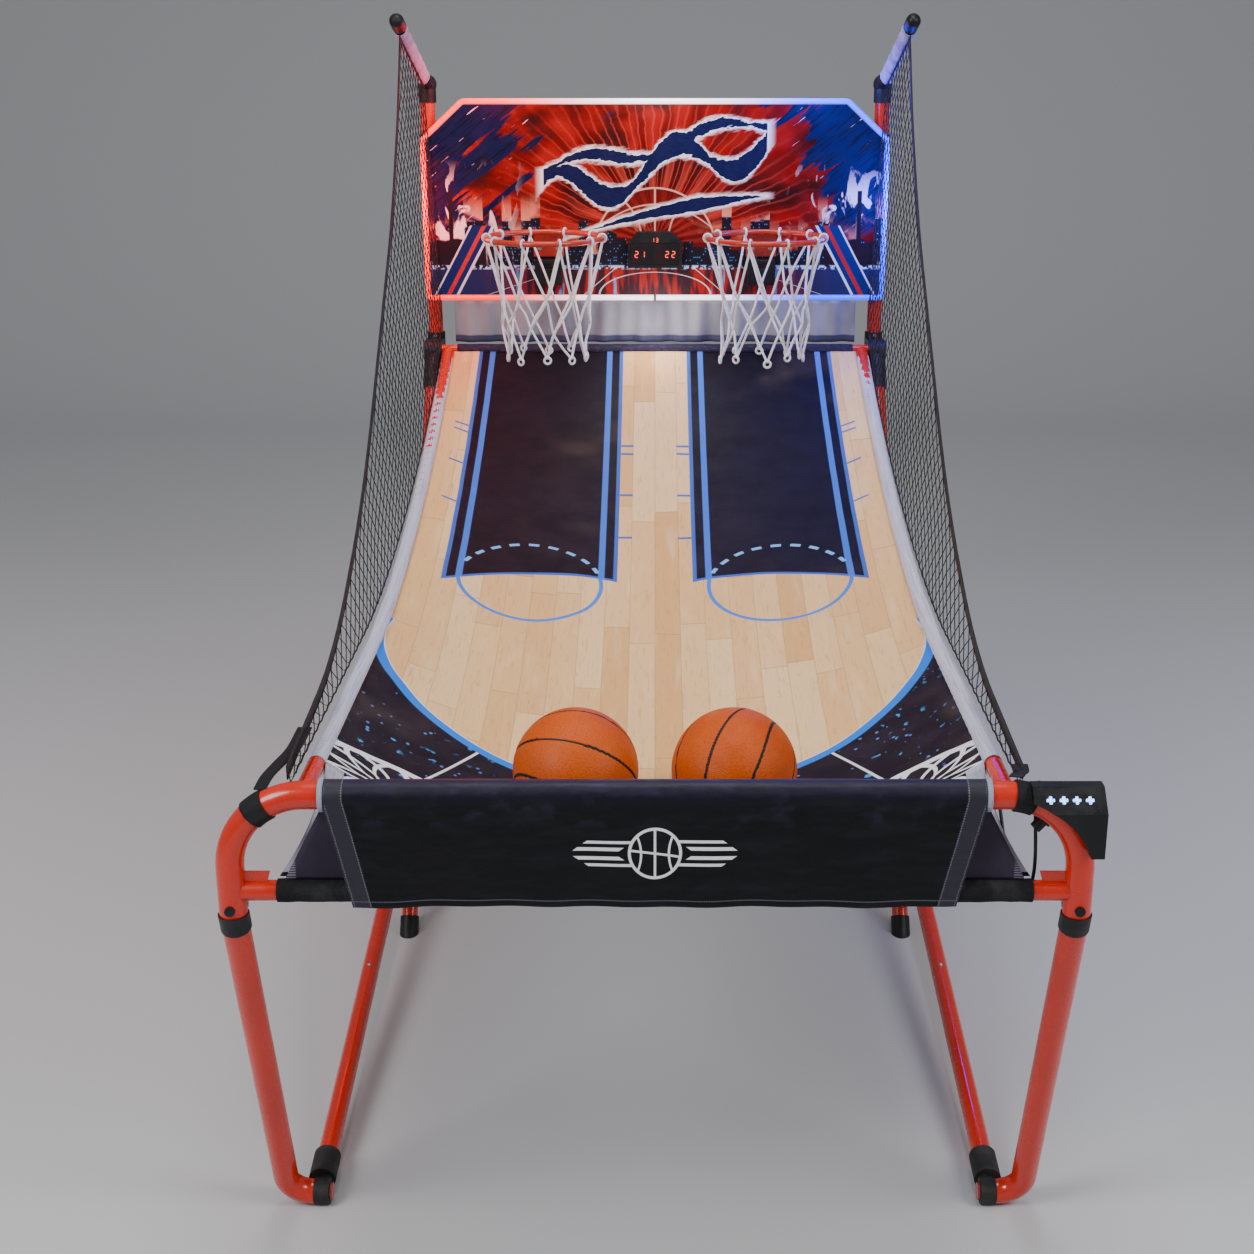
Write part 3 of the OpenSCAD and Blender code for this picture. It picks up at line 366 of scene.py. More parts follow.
def thicken(made, by, side=-1, backing=None):
    """Cloth thickness, with another finish on its reverse where one is given."""
    shell = made.modifiers.new("cloth_thickness", "SOLIDIFY")
    shell.thickness, shell.offset = by, side
    if backing:
        made.data.materials.append(backing)
        shell.material_offset = 1
    return made


def cloth_place(u, v):
    y = cloth_front + (cloth_back - cloth_front) * v
    x = (2 * u - 1) * cloth_half(y)
    dimple = 0.0012 * math.sin(37 * y + 9 * math.sin(5 * x)) * math.sin(13 * x + 4)
    pull = 0.0016 * max(0.0, abs(2 * u - 1) - 0.6) * math.sin(2 * math.pi * y / 0.083)
    still_at_edges = min(1.0, 40 * u * (1 - u)) * min(1.0, 30 * v * (1 - v))
    return at(x, y, cloth_top(x, y) + (dimple + pull) * still_at_edges)


court = Finish("court_print", 0.5, shine=0.18)
# Lengths in the print are metres on the machine: across from the middle, and back from the front tube.
across, back = court.x, court.y + (-front_tube_y)
outward = across.size()
strip = (across / 0.045)
strip_number = strip.sum("FLOOR")
board_shift = (strip_number * 12.9898).sum("SINE") * 43758.5
board_number = ((back / 0.42) + board_shift.sum("FRACT")).sum("FLOOR")
board_tone = (((strip_number * 78.233) + (board_number * 37.719)).sum("SINE") * 4375.85).sum("FRACT")
court.lay((0.90, 0.52, 0.21)).lay((0.98, 0.68, 0.35), board_tone.spread(0.35, 1.0, 0, 0.85))
court.lay((0.74, 0.39, 0.13), board_tone.spread(0.0, 0.30, 0.62, 0))
grain = court.noise(26, 6, sizes=(9, 0.9, 1), warp=0.8)
court.lay((0.50, 0.235, 0.07), grain.spread(0.52, 0.75, 0, 0.42))
court.lay((0.98, 0.74, 0.44), court.noise(9, 4, sizes=(5, 0.7, 1)).spread(0.5, 0.8, 0, 0.45))
seam = strip.from_middle().over(0.485, 0.008)
board_end = ((back / 0.42) + board_shift.sum("FRACT")).from_middle().over(0.4965, 0.002)
court.lay((0.42, 0.22, 0.09), seam.either(board_end) * 0.5)
# The two keys, each with a double blue border and a half-dashed circle.
key_line, key_dark = (0.045, 0.13, 0.55), (0.003, 0.002, 0.006)
bow = ((outward - 0.23) * (outward - 0.23)) * 1.5
key_end = back - (bow * -1 + 1.066 + (outward * -0.16))
key_in = outward.within(0.070, 0.390, 0.0008).both(key_end.over(0, 0.0008))
key_cloth = court.noise(5, 4).spread(0.35, 0.75, 0, 0.7)
court.lay(key_line, key_in)
court.lay(key_dark, outward.within(0.078, 0.382, 0.0008).both(key_end.over(0.008, 0.0008)))
court.lay((0.008, 0.006, 0.014), key_cloth.both(outward.within(0.078, 0.382).both(key_end.over(0.008))))
rail_lines = outward.within(0.094, 0.106, 0.0008).either(outward.within(0.354, 0.366, 0.0008))
court.lay((0.05, 0.18, 0.74), rail_lines.both(key_end.over(0.0, 0.0008)))
ring_x, ring_y = outward - 0.230, back - 1.000
ring_far = ring_x.across(ring_y)
ring_band = ring_far.within(0.127, 0.135, 0.0008)
dashes = (ring_y.sum("ARCTAN2", ring_x) / (math.pi / 11)).from_middle().under(0.26, 0.02)
court.lay((0.06, 0.22, 0.78), ring_band.both(key_end.under(0.004)))
court.lay((0.22, 0.50, 0.95), ring_band.both(dashes).both(key_end.over(0.004)).both(ring_y.over(0.045)))
tick_rows = back.within(1.488, 1.495).either(back.within(1.460, 1.467)).either(back.within(1.316, 1.323))
tick_rows = tick_rows.either(back.within(1.168, 1.175))
court.lay(key_line, tick_rows.both(outward.within(0.044, 0.070)))
outer_rows = back - (outward * 0.5)
outer_ticks = outer_rows.within(1.345, 1.351).either(outer_rows.within(1.320, 1.326))
outer_ticks = outer_ticks.either(outer_rows.within(1.205, 1.211)).either(outer_rows.within(1.061, 1.067))
court.lay(key_line, outer_ticks.both(outward.within(0.390, 0.420)))
# The dark apron at the front, edged in bright blue, with drawn hoops, cords and splashes.
apron_x, apron_y = across / 0.458, (back - 0.700) / 0.385
apron_far = apron_x.across(apron_y)
ahead = back.under(0.760, 0.001)
court.lay((0.86, 0.88, 0.92), apron_far.over(0.984, 0.002).both(ahead))
court.lay((0.0, 0.21, 0.86), apron_far.over(0.988, 0.002).both(ahead))
apron = apron_far.over(1.030, 0.002).both(ahead)
court.lay((0.004, 0.003, 0.008), apron)
spray = court.noise(60, 3).over(0.66, 0.02).both((court.noise(9, 2)).over(0.5, 0.05))
court.lay((0.04, 0.34, 0.75), spray.both(apron).both(outward.within(0.24, 0.44, 0.02)))
speck = court.cells(55).under(0.16, 0.02).both(court.noise(14, 2).over(0.52, 0.03))
court.lay((0.10, 0.22, 0.60), speck.both(apron))
drawn_x, drawn_y = (outward - 0.375) / 0.115, (back - 0.150) / 0.075
drawn_far = drawn_x.across(drawn_y) + (court.noise(12, 2) * 0.12)
drawn_ring = drawn_far.within(0.98, 1.16, 0.01)
cord_turn = drawn_y.sum("ARCTAN2", drawn_x)
cord_fan = (cord_turn * 1.9 + (drawn_far * 1.3)).from_middle().under(0.11, 0.02)
cord_fan = cord_fan.either(((cord_turn * 1.9) - (drawn_far * 1.3)).from_middle().under(0.09, 0.02))
cord_long = (across.size() * 0.92 + (back * 0.39) - 0.395).size().under(0.0022, 0.0006).both(back.over(0.21))
court.lay((0.90, 0.90, 0.93), drawn_ring.either(cord_fan.both(drawn_far.within(0.25, 1.0, 0.01))).both(apron))
court.lay((0.90, 0.90, 0.93), cord_long.both(apron))
# Weave, and a warm grime where the balls run.
weave = court.noise(900, 1)
threads = court.ripple(520, "X") * 0.5 + court.ripple(520, "Y") * 0.5
court.lay((0.5, 0.36, 0.24), court.noise(3, 5).spread(0.55, 0.8, 0, 0.16))
court.raise_by(threads * 0.35).raise_by(weave * 0.4)
court.raise_by(court.noise(11, 4) * 5).raise_by(court.noise(4, 2) * 8)
court_print = court.done(0.0005, court.noise(18, 4).spread(0.3, 0.75, 0.45, 0.62))

playfield_cloth = piece("playfield_cloth", sewn_sheet(110, 220, cloth_place), court_print, "playfield_frame",
                        ("ramp",), fix_normals=False)
# The print stops at the face: the reverse is the plain grey weave.
reverse = Finish("cloth_reverse", 0.8, shine=0.2)
reverse.lay((0.20, 0.20, 0.22)).lay((0.13, 0.13, 0.15), reverse.noise(30, 5).spread(0.4, 0.75))
reverse.raise_by(reverse.ripple(520, "X") * 0.5 + reverse.ripple(520, "Y") * 0.5)
cloth_reverse = reverse.done(0.0004)
thicken(playfield_cloth, 0.0022, backing=cloth_reverse)

# ---- Rail bindings ----
# A band of white webbing sewn round each side rail where the playfield cloth is turned over it,
# with a row of stitches and small puckers.
hem = Finish("white_binding", 0.62, shine=0.3, on="UV")
hem.lay((0.66, 0.66, 0.78)).lay((0.40, 0.38, 0.62), hem.noise(14, 3).spread(0.42, 0.72, 0, 0.8))
hem.lay((0.84, 0.84, 0.90), hem.noise(60, 3).spread(0.5, 0.8, 0, 0.8))
hem.lay((0.12, 0.11, 0.2), (hem.y * 150).sum("FRACT").under(0.05, 0.02).both(hem.x.within(0.12, 0.9)) * 0.5)
hem.raise_by(hem.noise(120, 3)).raise_by(hem.ripple(400, "Y") * 0.4)
white_binding = hem.done(0.0006)
rail_radius, rail_out, rail_drop = 0.0131, 0.013, 0.002
rail_shares = [0.0, 0.35, *(0.35 + n * 0.65 / 6 for n in range(1, 7))]


def rail_middle(y):
    """Where the rail's centre is: the rail is bent at seven places, and straight between them."""
    for a, b in zip(rail_shares, rail_shares[1:]):
        if cloth_share(y) <= b:
            break
    def bend(share):
        y = cloth_front + (cloth_back - cloth_front) * share
        if share < 0.1:
            return half_at_front + rail_out, front_edge - rail_drop
        return cloth_half(y) + rail_out, cloth_edge(y) - rail_drop
    near, far, between = bend(a), bend(b), (cloth_share(y) - a) / (b - a)
    return [low + (high - low) * between for low, high in zip(near, far)]


for side, name in both_sides:
    def binding_place(u, v):
        y = 0.128 + (1.795 - 0.128) * v
        turn = math.radians(205 - 180 * u)
        pucker = 0.0003 * math.sin(2 * math.pi * y / 0.027 + 5 * u)
        x, z = rail_middle(y)
        return at(side * x, y, z) + (rail_radius + pucker) * Vector((side * math.cos(turn), 0, math.sin(turn)))
    binding = piece(f"rail_binding_{name}", sewn_sheet(14, 200, binding_place), white_binding,
                    "playfield_frame", fix_normals=True)
    thicken(binding, 0.0008, 1)

# The same binding runs down the flared front corners of the cloth, and a dark band wraps the top bar.
for side, name in both_sides:
    def flare_place(u, v):
        y = 0.006 + 0.124 * v
        x = cloth_half(y) - 0.001 - 0.024 * u
        return at(side * x, y, cloth_top(x, y) + 0.0012 + 0.0005 * math.sin(40 * v) * u)
    flare = piece(f"corner_binding_{name}", sewn_sheet(6, 40, flare_place), white_binding, "playfield_frame",
                  fix_normals=True)
    thicken(flare, 0.0009, 0)
wrap_half, top_bar_y, top_bar_z = 0.440, 1.838, 1.045
wrap = Finish("top_wrap", 0.55, shine=0.2, on="UV")
wrap.lay((0.016, 0.011, 0.030))
wrap.lay((0.045, 0.034, 0.075), wrap.noise(12, 4, sizes=(6, 1, 1)).spread(0.42, 0.72))
wrap.lay((0.055, 0.11, 0.42), wrap.y.within(0.02, 0.14, 0.01))
wrap.raise_by(wrap.noise(30, 3, sizes=(8, 1, 1)) * 3)


def wrap_place(u, v):
    turn = math.radians(232 - 212 * v)
    reach = 0.0133 + 0.0003 * math.sin(90 * u + 3 * v)
    return at((2 * u - 1) * wrap_half, top_bar_y + reach * math.cos(turn), top_bar_z + reach * math.sin(turn))


top_wrap = piece("top_bar_wrap", sewn_sheet(120, 24, wrap_place), wrap.done(0.0005), "playfield_frame",
                 fix_normals=True)
thicken(top_wrap, 0.0008, 1)

# ---- Front panel ----
# Black polyester wrapped over the front tube and dropped to the lower tube, with a sewn hem on
# each side, light piping at the ends of the wrap and a plain ball badge in the middle.
wrap_r, panel_top, panel_low = 0.0204, 0.770, 0.618
wrap_run, drop_run = math.pi * wrap_r, panel_top - panel_low


def panel_place(u, v):
    along_cloth = v * (wrap_run + drop_run)
    if along_cloth < wrap_run:
        turn = along_cloth / wrap_r
        y, z, half = wrap_r * math.cos(turn), panel_top + wrap_r * math.sin(turn), 0.435
    else:
        drop = (along_cloth - wrap_run) / drop_run
        y, z, half = -wrap_r, panel_top - drop * drop_run, 0.435 - 0.035 * drop
        y += 0.0011 * math.sin(drop * 5) * math.sin(23 * (u - 0.5)) - 0.0015 * drop * math.cos(9 * u)
        y += 0.0009 * math.exp(-30 * min(u, 1 - u)) * math.sin(60 * drop)
        z -= 0.0016 * drop * math.sin(31 * u) * math.sin(17 * u)
    return at((2 * u - 1) * half, y, z)


panel = Finish("panel_print_and_painted_sheen", 0.45, shine=0.22, on="UV")
# Painted sheen: the top and back of the wrap, where it turns over the tube, is painted lighter purple, with
# lighter purple patches over the upper part, on black cloth.
panel.lay((0.003, 0.003, 0.005)).lay((0.020, 0.016, 0.045), panel.y.spread(0.36, 0.10))
panel.lay((0.030, 0.025, 0.065),
          panel.noise(7, 4, sizes=(3, 1, 1)).spread(0.5, 0.8, 0, 0.6).both(panel.y.under(0.4, 0.1)))
panel.lay((0.009, 0.009, 0.014), panel.noise(11, 4).spread(0.45, 0.75, 0, 0.7))
edge_out = (panel.x - 0.5).size()
panel.lay((0.028, 0.026, 0.038), edge_out.over(0.468, 0.0015))
stitch = (panel.y * 62).sum("FRACT").under(0.62, 0.06)
panel.lay((0.15, 0.15, 0.20), edge_out.within(0.4685, 0.4705, 0.0005).both(stitch))
panel.lay((0.13, 0.13, 0.18), edge_out.within(0.4955, 0.4972, 0.0005).both(stitch))
low_stitch = (panel.x * 260).sum("FRACT").under(0.6, 0.06)
panel.lay((0.13, 0.13, 0.18), panel.y.within(0.955, 0.962, 0.001).both(low_stitch))
badge_x, badge_y = (panel.x - 0.5) * 0.87, (panel.y - 0.64) * 0.216
badge_far = badge_x.across(badge_y)
badge = badge_far.within(0.033, 0.037, 0.0005)
badge_lines = badge_x.size().under(0.0016, 0.0004)
badge_lines = badge_lines.either((badge_y - (badge_x * 0.15)).size().under(0.0016, 0.0004))
side_bow = (badge_x.size() + (badge_y * badge_y * -8) - 0.019).size().under(0.0015, 0.0004)
badge = badge.either(badge_lines.either(side_bow).both(badge_far.under(0.034)))
wings = badge_y.size().within(0.004, 0.009, 0.0005).either(badge_y.size().within(0.0145, 0.0185, 0.0005))
wings = wings.both((badge_x.size() + (badge_y.size() * 1.4)).within(0.055, 0.118, 0.0005))
panel.lay((0.86, 0.86, 0.90), badge.either(wings))
panel.raise_by(panel.noise(1400, 1) * 0.25).raise_by(panel.noise(9, 4, sizes=(3, 1, 1)) * 4)
panel.raise_by(edge_out.within(0.4685, 0.4705, 0.001) * -2)
panel_print_and_painted_sheen = panel.done(0.0004, panel.noise(30, 4).spread(0.3, 0.75, 0.3, 0.5))
front_panel = piece("front_panel_cloth", sewn_sheet(160, 64, panel_place), panel_print_and_painted_sheen, "playfield_frame",
                    ("front_panel",), fix_normals=True)
thicken(front_panel, 0.0016, 0)

piping = Finish("light_piping", 0.5, on="UV")
piping.lay((0.62, 0.68, 0.82)).lay((0.35, 0.42, 0.62), piping.noise(40, 3).spread(0.4, 0.75, 0, 0.8))
piping.raise_by(piping.ripple(90, "Y"))
light_piping = piping.done(0.0004)


def ribbon(name, points, width, thick, face, material, body):
    """A flat strap that follows points, with its flat side turned to the direction face."""
    count = len(points)
    def strap_place(u, v):
        place = v * (count - 1)
        low = min(int(place), count - 2)
        here = points[low].lerp(points[low + 1], place - low)
        run = (points[min(low + 2, count - 1)] - points[max(low - 1, 0)]).normalized()
        flat = run.cross(Vector(face)).normalized()
        return here + flat * width * (u - 0.5)
    mesh = sewn_sheet(2, (count - 1) * 3, strap_place)
    made = piece(name, mesh, material, body, fix_normals=True)
    thicken(made, thick, 0)
    return made


for side, name in both_sides:
    def collar_place(u, v):
        turn = -1.1 + v * (math.pi + 2.0)
        return at(side * (0.433 + 0.007 * u), 0.0224 * math.cos(turn), 0.770 + 0.0224 * math.sin(turn))
    collar = piece(f"panel_piping_{name}", sewn_sheet(3, 40, collar_place), light_piping, "playfield_frame",
                   fix_normals=True)
    thicken(collar, 0.0012, 0)

# ---- Trough curtain ----
# Dark purple-grey cloth that closes the front of the trough behind the panel, from the front tube
# to the lower tube, with a stitched edge.
curtain = Finish("trough_cloth", 0.6, shine=0.3)
curtain.lay((0.022, 0.014, 0.032)).lay((0.050, 0.036, 0.070), curtain.noise(8, 4).spread(0.4, 0.75, 0, 0.8))
curtain_stitch = (curtain.z * 280).sum("FRACT").under(0.5, 0.05)
curtain.lay((0.20, 0.17, 0.24), curtain_stitch.both(curtain.x.size().over(0.478)))
curtain.raise_by(curtain.noise(700, 1) * 0.3).raise_by(curtain.noise(14, 3) * 4)
trough_cloth = curtain.done(0.0005)


def trough_place(u, v):
    half = 0.440 + 0.053 * v
    return at((2 * u - 1) * half, 0.0010 * math.sin(40 * u) * math.sin(3 * v), 0.7505 - 0.1025 * v)


trough_curtain = piece("trough_curtain_cloth", sewn_sheet(100, 20, trough_place), trough_cloth,
                       "playfield_frame", ("trough_curtain",), fix_normals=True)
thicken(trough_curtain, 0.0012, 0)

# ---- Foam sleeve ----
# A black foam tube pushed over the lower tube, squeezed a little and scuffed, with its ends cut square.
foam = Finish("sleeve_foam", 0.85, shine=0.2)
foam.lay((0.010, 0.010, 0.011)).lay((0.030, 0.030, 0.033), foam.noise(30, 5).spread(0.4, 0.75))
foam.lay((0.055, 0.055, 0.06), foam.cells(420).under(0.16, 0.05) * 0.6)
foam.raise_by(foam.cells(420)).raise_by(foam.noise(40, 4) * 2)
sleeve_foam = foam.done(0.0006)
sleeve_mesh = bmesh.new()
bmesh.ops.create_cone(sleeve_mesh, segments=40, radius1=0.0157, radius2=0.0157, depth=1.006)
bmesh.ops.rotate(sleeve_mesh, verts=sleeve_mesh.verts, matrix=Matrix.Rotation(math.pi / 2, 3, "Y"))
long_edges = [e for e in sleeve_mesh.edges if abs(e.verts[0].co.x - e.verts[1].co.x) > 0.5]
bmesh.ops.subdivide_edges(sleeve_mesh, edges=long_edges, cuts=70)
for v in sleeve_mesh.verts:
    squeeze = 1 + 0.035 * math.sin(v.co.x * 71) * math.sin(v.co.x * 23 + 1) + 0.02 * math.sin(v.co.x * 190)
    v.co.y, v.co.z = v.co.y * squeeze, v.co.z * squeeze
bmesh.ops.translate(sleeve_mesh, verts=sleeve_mesh.verts, vec=at(0, 0, 0.632))
foam_sleeve = piece("foam_sleeve", sleeve_mesh, sleeve_foam, "playfield_frame",
                    ("lower_sleeve",))

# ---- Backboard ----
# A flat composite panel with cut top corners. Its printed face shows a red burst of light behind a
# half ball, with dark slanting strokes, plain dark blocks, a wet floor and a loose brush stroke.
board = Finish("board_print", 0.42, shine=0.22)
board_foot, shore_line = 1.165, 0.060
bx, bz = board.x, board.z - board_foot
grit = board.noise(9, 6, sizes=(1, 1, 1), warp=1.2)
burst_x, burst_z = bx, bz - 0.115
burst_far = burst_x.across(burst_z)
burst_turn = burst_z.sum("ARCTAN2", burst_x)
rays = (burst_turn * 14 + grit * 3).sum("SINE").size()
fine_rays = (burst_turn * 47 + grit * 5).sum("SINE").size()
board.lay((0.15, 0.001, 0.001)).lay((0.36, 0.003, 0.002), rays.spread(0.2, 1.0, 0.0, 0.8))
board.lay((0.012, 0.001, 0.001), board.noise(7, 5, sizes=(1, 1, 1.6)).spread(0.42, 0.66, 0, 0.88))
board.lay((0.60, 0.05, 0.03),
          fine_rays.over(0.95, 0.04).both(burst_far.spread(0.42, 0.14)).both(bz.over(0.16, 0.04)) * 0.6)
board.lay((0.72, 0.07, 0.04), burst_far.spread(0.24, 0.13, 0, 0.35).both(rays.spread(0.7, 1)))
# Slanting brush strokes in the two upper corners, thin pale scratches among them.
slant = board.noise(5, 6, sizes=(1, 1, 7), turn=(0, math.radians(-38), 0))
slant_fine = board.noise(16, 5, sizes=(1, 1, 12), turn=(0, math.radians(-38), 0))
corner_room = (bx.size() * 1.0 + bz * 0.55).spread(0.36, 0.56)
stroke = (slant + corner_room * 0.30).over(0.70, 0.02)
board.lay((0.003, 0.005, 0.055), stroke.both(bz.over(0.13, 0.05)))
board.lay((0.002, 0.003, 0.018), stroke.both(slant_fine.over(0.55, 0.05)).both(bz.over(0.13, 0.05)))
scratch = (slant_fine + corner_room * 0.05).over(0.745, 0.02).both(corner_room.over(0.3, 0.2))
board.lay((0.85, 0.62, 0.66), scratch)
# The printed half ball.
ball_x, ball_z = bx, bz - 0.098
ball_far = ball_x.across(ball_z)
in_ball = ball_far.under(0.134, 0.001)
board.lay((0.12, 0.002, 0.002), in_ball.both(ball_far.spread(0.05, 0.14, 0.35, 0.9)))
ball_arc = (ball_x.size() - 0.142).across(ball_z - 0.02)
ball_mark = ball_far.within(0.131, 0.135, 0.001).either(ball_x.size().under(0.002, 0.0008).both(in_ball))
ball_mark = ball_mark.either(ball_arc.within(0.111, 0.1145, 0.001).both(in_ball))
top_arc = (ball_z - 0.098 + (ball_x * ball_x * 3.2)).size().under(0.0016, 0.0008)
ball_mark = ball_mark.either(top_arc.both(in_ball))
board.lay((0.90, 0.42, 0.30), ball_mark.both(bz.over(0.10, 0.01)) * 0.85)
# Plain dark blocks of uneven height along a far shore, with small lit windows.
column = (bx / 0.021).sum("FLOOR")
tall = ((column * 12.9898).sum("SINE") * 43758.5).sum("FRACT")
block_top = tall.spread(0, 1, 0.088, 0.140, False)
block_top = block_top + (bx.size().over(0.10, 0.05) * 0.03).both(tall.over(0.70, 0.01) * 0.05)
blocks = (block_top - bz).over(0, 0.0012).both(bz.over(shore_line, 0.001))
haze = (block_top + 0.03 - bz).over(0, 0.03).both(bz.over(shore_line, 0.001))
board.lay((0.95, 0.36, 0.22), haze.both(grit.over(0.52, 0.08)) * 0.7)
board.lay((0.010, 0.006, 0.014), blocks)
window_x, window_z = bx / 0.0042, bz / 0.0065
window = window_x.sum("FRACT").within(0.3, 0.75, 0.05).both(window_z.sum("FRACT").within(0.35, 0.75, 0.05))
window_number = window_x.sum("FLOOR") * 3.7 + window_z.sum("FLOOR") * 9.1
lit = (window_number.sum("SINE") * 571.3).sum("FRACT").over(0.80, 0.01)
board.lay((0.06, 0.22, 0.55), window.both(lit).both(blocks))
# Tall thin stacks and flames at both sides.
side_flame = board.noise(20, 5, sizes=(1, 1, 0.45), warp=1.5)
flame_room = (bx.size().within(0.33, 0.498, 0.05)).both(bz.within(0.10, 0.245, 0.05))
board.lay((0.95, 0.78, 0.74), (side_flame.over(0.60, 0.03)).both(flame_room))
stacks = bx.size().within(0.443, 0.453, 0.001)
stacks = stacks.either(bx.size().within(0.373, 0.381, 0.001).both(bz.under(0.155)))
board.lay((0.010, 0.006, 0.012), stacks.both(bz.within(0.06, 0.225, 0.001)))
side_sheds = bx.size().over(0.375, 0.001).both((bz - grit * 0.05).under(0.095, 0.002)).both(bz.over(0.05))
board.lay((0.014, 0.006, 0.012), side_sheds)
# The wet floor in front of the shore: dark, streaked with red and blue light and white lines.
floor_room = bz.under(shore_line, 0.001)
streak = board.noise(60, 3, sizes=(1, 1, 0.12))
board.lay((0.040, 0.010, 0.018), floor_room)
board.lay((0.36, 0.012, 0.010), streak.over(0.52, 0.06).both(floor_room).both(bx.size().under(0.30, 0.12)))
board.lay((0.10, 0.30, 0.62), streak.over(0.66, 0.03).both(floor_room).both(bx.size().over(0.02, 0.01)))
board.lay((0.008, 0.018, 0.10), bx.size().spread(0.22, 0.42, 0, 0.8).both(floor_room))
shore = bz.within(0.056, 0.064, 0.002).both(board.noise(140, 2).over(0.5, 0.05))
board.lay((0.45, 0.65, 0.95), shore)
lane = ((bx.size() - 0.085 - ((bz * -1 + 0.060) * 1.2)).size()).under(0.0012, 0.0006)
lane = lane.either((bx.size() - 0.19 - ((bz * -1 + 0.060) * 3.0)).size().under(0.0014, 0.0006))
bowl_x, bowl_z = bx / 0.125, bz / 0.050
lane = lane.either(bowl_x.across(bowl_z).within(0.97, 1.0, 0.008))
board.lay((0.85, 0.75, 0.80), lane.both(floor_room) * 0.75)
# Leaning bands at the two lower corners.
lean_band = bx.size() - ((bz * -0.55) + 0.475)
band_room = bz.under(0.150, 0.002)
band_edges = lean_band.within(-0.040, -0.034, 0.001).either(lean_band.within(0.010, 0.014, 0.001))
board.lay((0.006, 0.014, 0.11), lean_band.within(-0.034, 0.012, 0.001).both(band_room))
board.lay((0.45, 0.015, 0.02), lean_band.within(-0.022, -0.012, 0.001).both(band_room))
board.lay((0.72, 0.72, 0.80), band_edges.both(band_room))
# A loose wave of three dark brush strokes with a glowing rim, and one long stroke under it.
ragged = (board.noise(60, 4, sizes=(1, 1, 3), turn=(0, math.radians(-12), 0)) - 0.5) * 0.018
lifted = bz - (bx * 0.22)
wave_one = lifted - 0.272 - (((bx + 0.02) * 24).sum("SINE") * 0.042) + ragged
thickness = ((bx * 19 + 0.9).sum("SINE").size() * 0.016) + 0.010
brush = thickness - wave_one.size()
wave_two = lifted - 0.318 - (((bx - 0.06) * 21).sum("SINE") * 0.018) + ragged
brush = brush.either(((bx * 15).sum("SINE").size() * 0.009 + 0.004) - wave_two.size())
brush = brush.both((bx.size() * -1 + 0.245) * 0.5)
under = (lifted - 0.178 + (bx * bx * 0.3) + ragged * 0.6).size() * -1
under = under + ((bx + 0.17) * 0.06).both(((bx * -1) + 0.25) * 0.10)
brush = brush.either(under.both((bx.size() * -1 + 0.24) * 0.4))
board.lay((1.0, 0.70, 0.66), brush.over(-0.0055, 0.0045))
board.lay((0.95, 0.93, 0.98), brush.over(-0.0022, 0.0006))
board.lay((0.003, 0.005, 0.050), brush.over(0.0008, 0.0006))
bristles = board.noise(80, 4, sizes=(1, 1, 4)).over(0.5, 0.08)
board.lay((0.006, 0.008, 0.060), brush.over(0.004, 0.003).both(bristles))
# The back and the sawn edges are plain black board.
face_on = board.tree.nodes.new("ShaderNodeNewGeometry")
facing = board.tree.nodes.new("ShaderNodeSeparateXYZ")
board.tree.links.new(face_on.outputs["True Normal"], facing.inputs[0])
board.lay((0.020, 0.018, 0.018), Reading(board.tree, facing.outputs[1]).over(-0.5, 0.1))
board.raise_by(board.noise(600, 2) * 0.3).raise_by(board.noise(6, 2) * 1.5)
board_print = board.done(0.0002, board.noise(25, 4).spread(0.3, 0.75, 0.35, 0.5))
# Painted glow: the printed face, back and sawn edges also give off their own colours weakly, though the board
# is no lamp.
board_print.node_tree.links.new(board.top, board.skin.inputs["Emission Color"])
board.skin.inputs["Emission Strength"].default_value = 0.05
dress(board_print, "backboard")

# ---- Light tube ----
# A frosted silicone tube clipped round the edge of the backboard. The lights inside run from red on
# the left through white in the middle to blue on the right.
tube = Finish("light_tube", 0.4)
tube.lay((1.0, 0.020, 0.015)).lay((1.0, 0.90, 0.94), tube.x.spread(-0.36, -0.04))
tube.lay((0.01, 0.05, 1.0), tube.x.spread(0.08, 0.36))
tube.raise_by(tube.noise(300, 2) * 0.3)
light_tube = tube.done(0.0002, glow=2.0)
dress(light_tube, "led_tube")
for name, x, z, colour, watts in (("red_glow", -0.545, 1.37, (1, 0.015, 0.015), 6.0),
                                  ("red_top_glow", -0.34, 1.62, (1, 0.03, 0.03), 2.5),
                                  ("white_glow", 0.0, 1.62, (1, 0.95, 0.97), 1.2),
                                  ("white_low_glow", 0.0, 1.12, (1, 0.93, 0.97), 1.2),
                                  ("blue_top_glow", 0.34, 1.62, (0.02, 0.05, 1), 3.5),
                                  ("blue_glow", 0.545, 1.37, (0.01, 0.03, 1), 9.0)):
    glow = bpy.data.objects.new(name, bpy.data.lights.new(name, "POINT"))
    glow.data.energy, glow.data.color, glow.data.shadow_soft_size = watts, colour, 0.10
    glow.location = at(x, 1.80, z)
    bpy.context.scene.collection.objects.link(glow)

# ---- Hoops ----
# Solid steel rings welded to folded plates, in a duller orange-red coat, with small wire eyes
# under the ring that hold the net.
hoop_paint = powder_coat("hoop_paint", (0.50, 0.032, 0.010), (0.24, 0.012, 0.005), (0.62, 0.06, 0.018))
dress(hoop_paint, "hoop_left", "hoop_right")

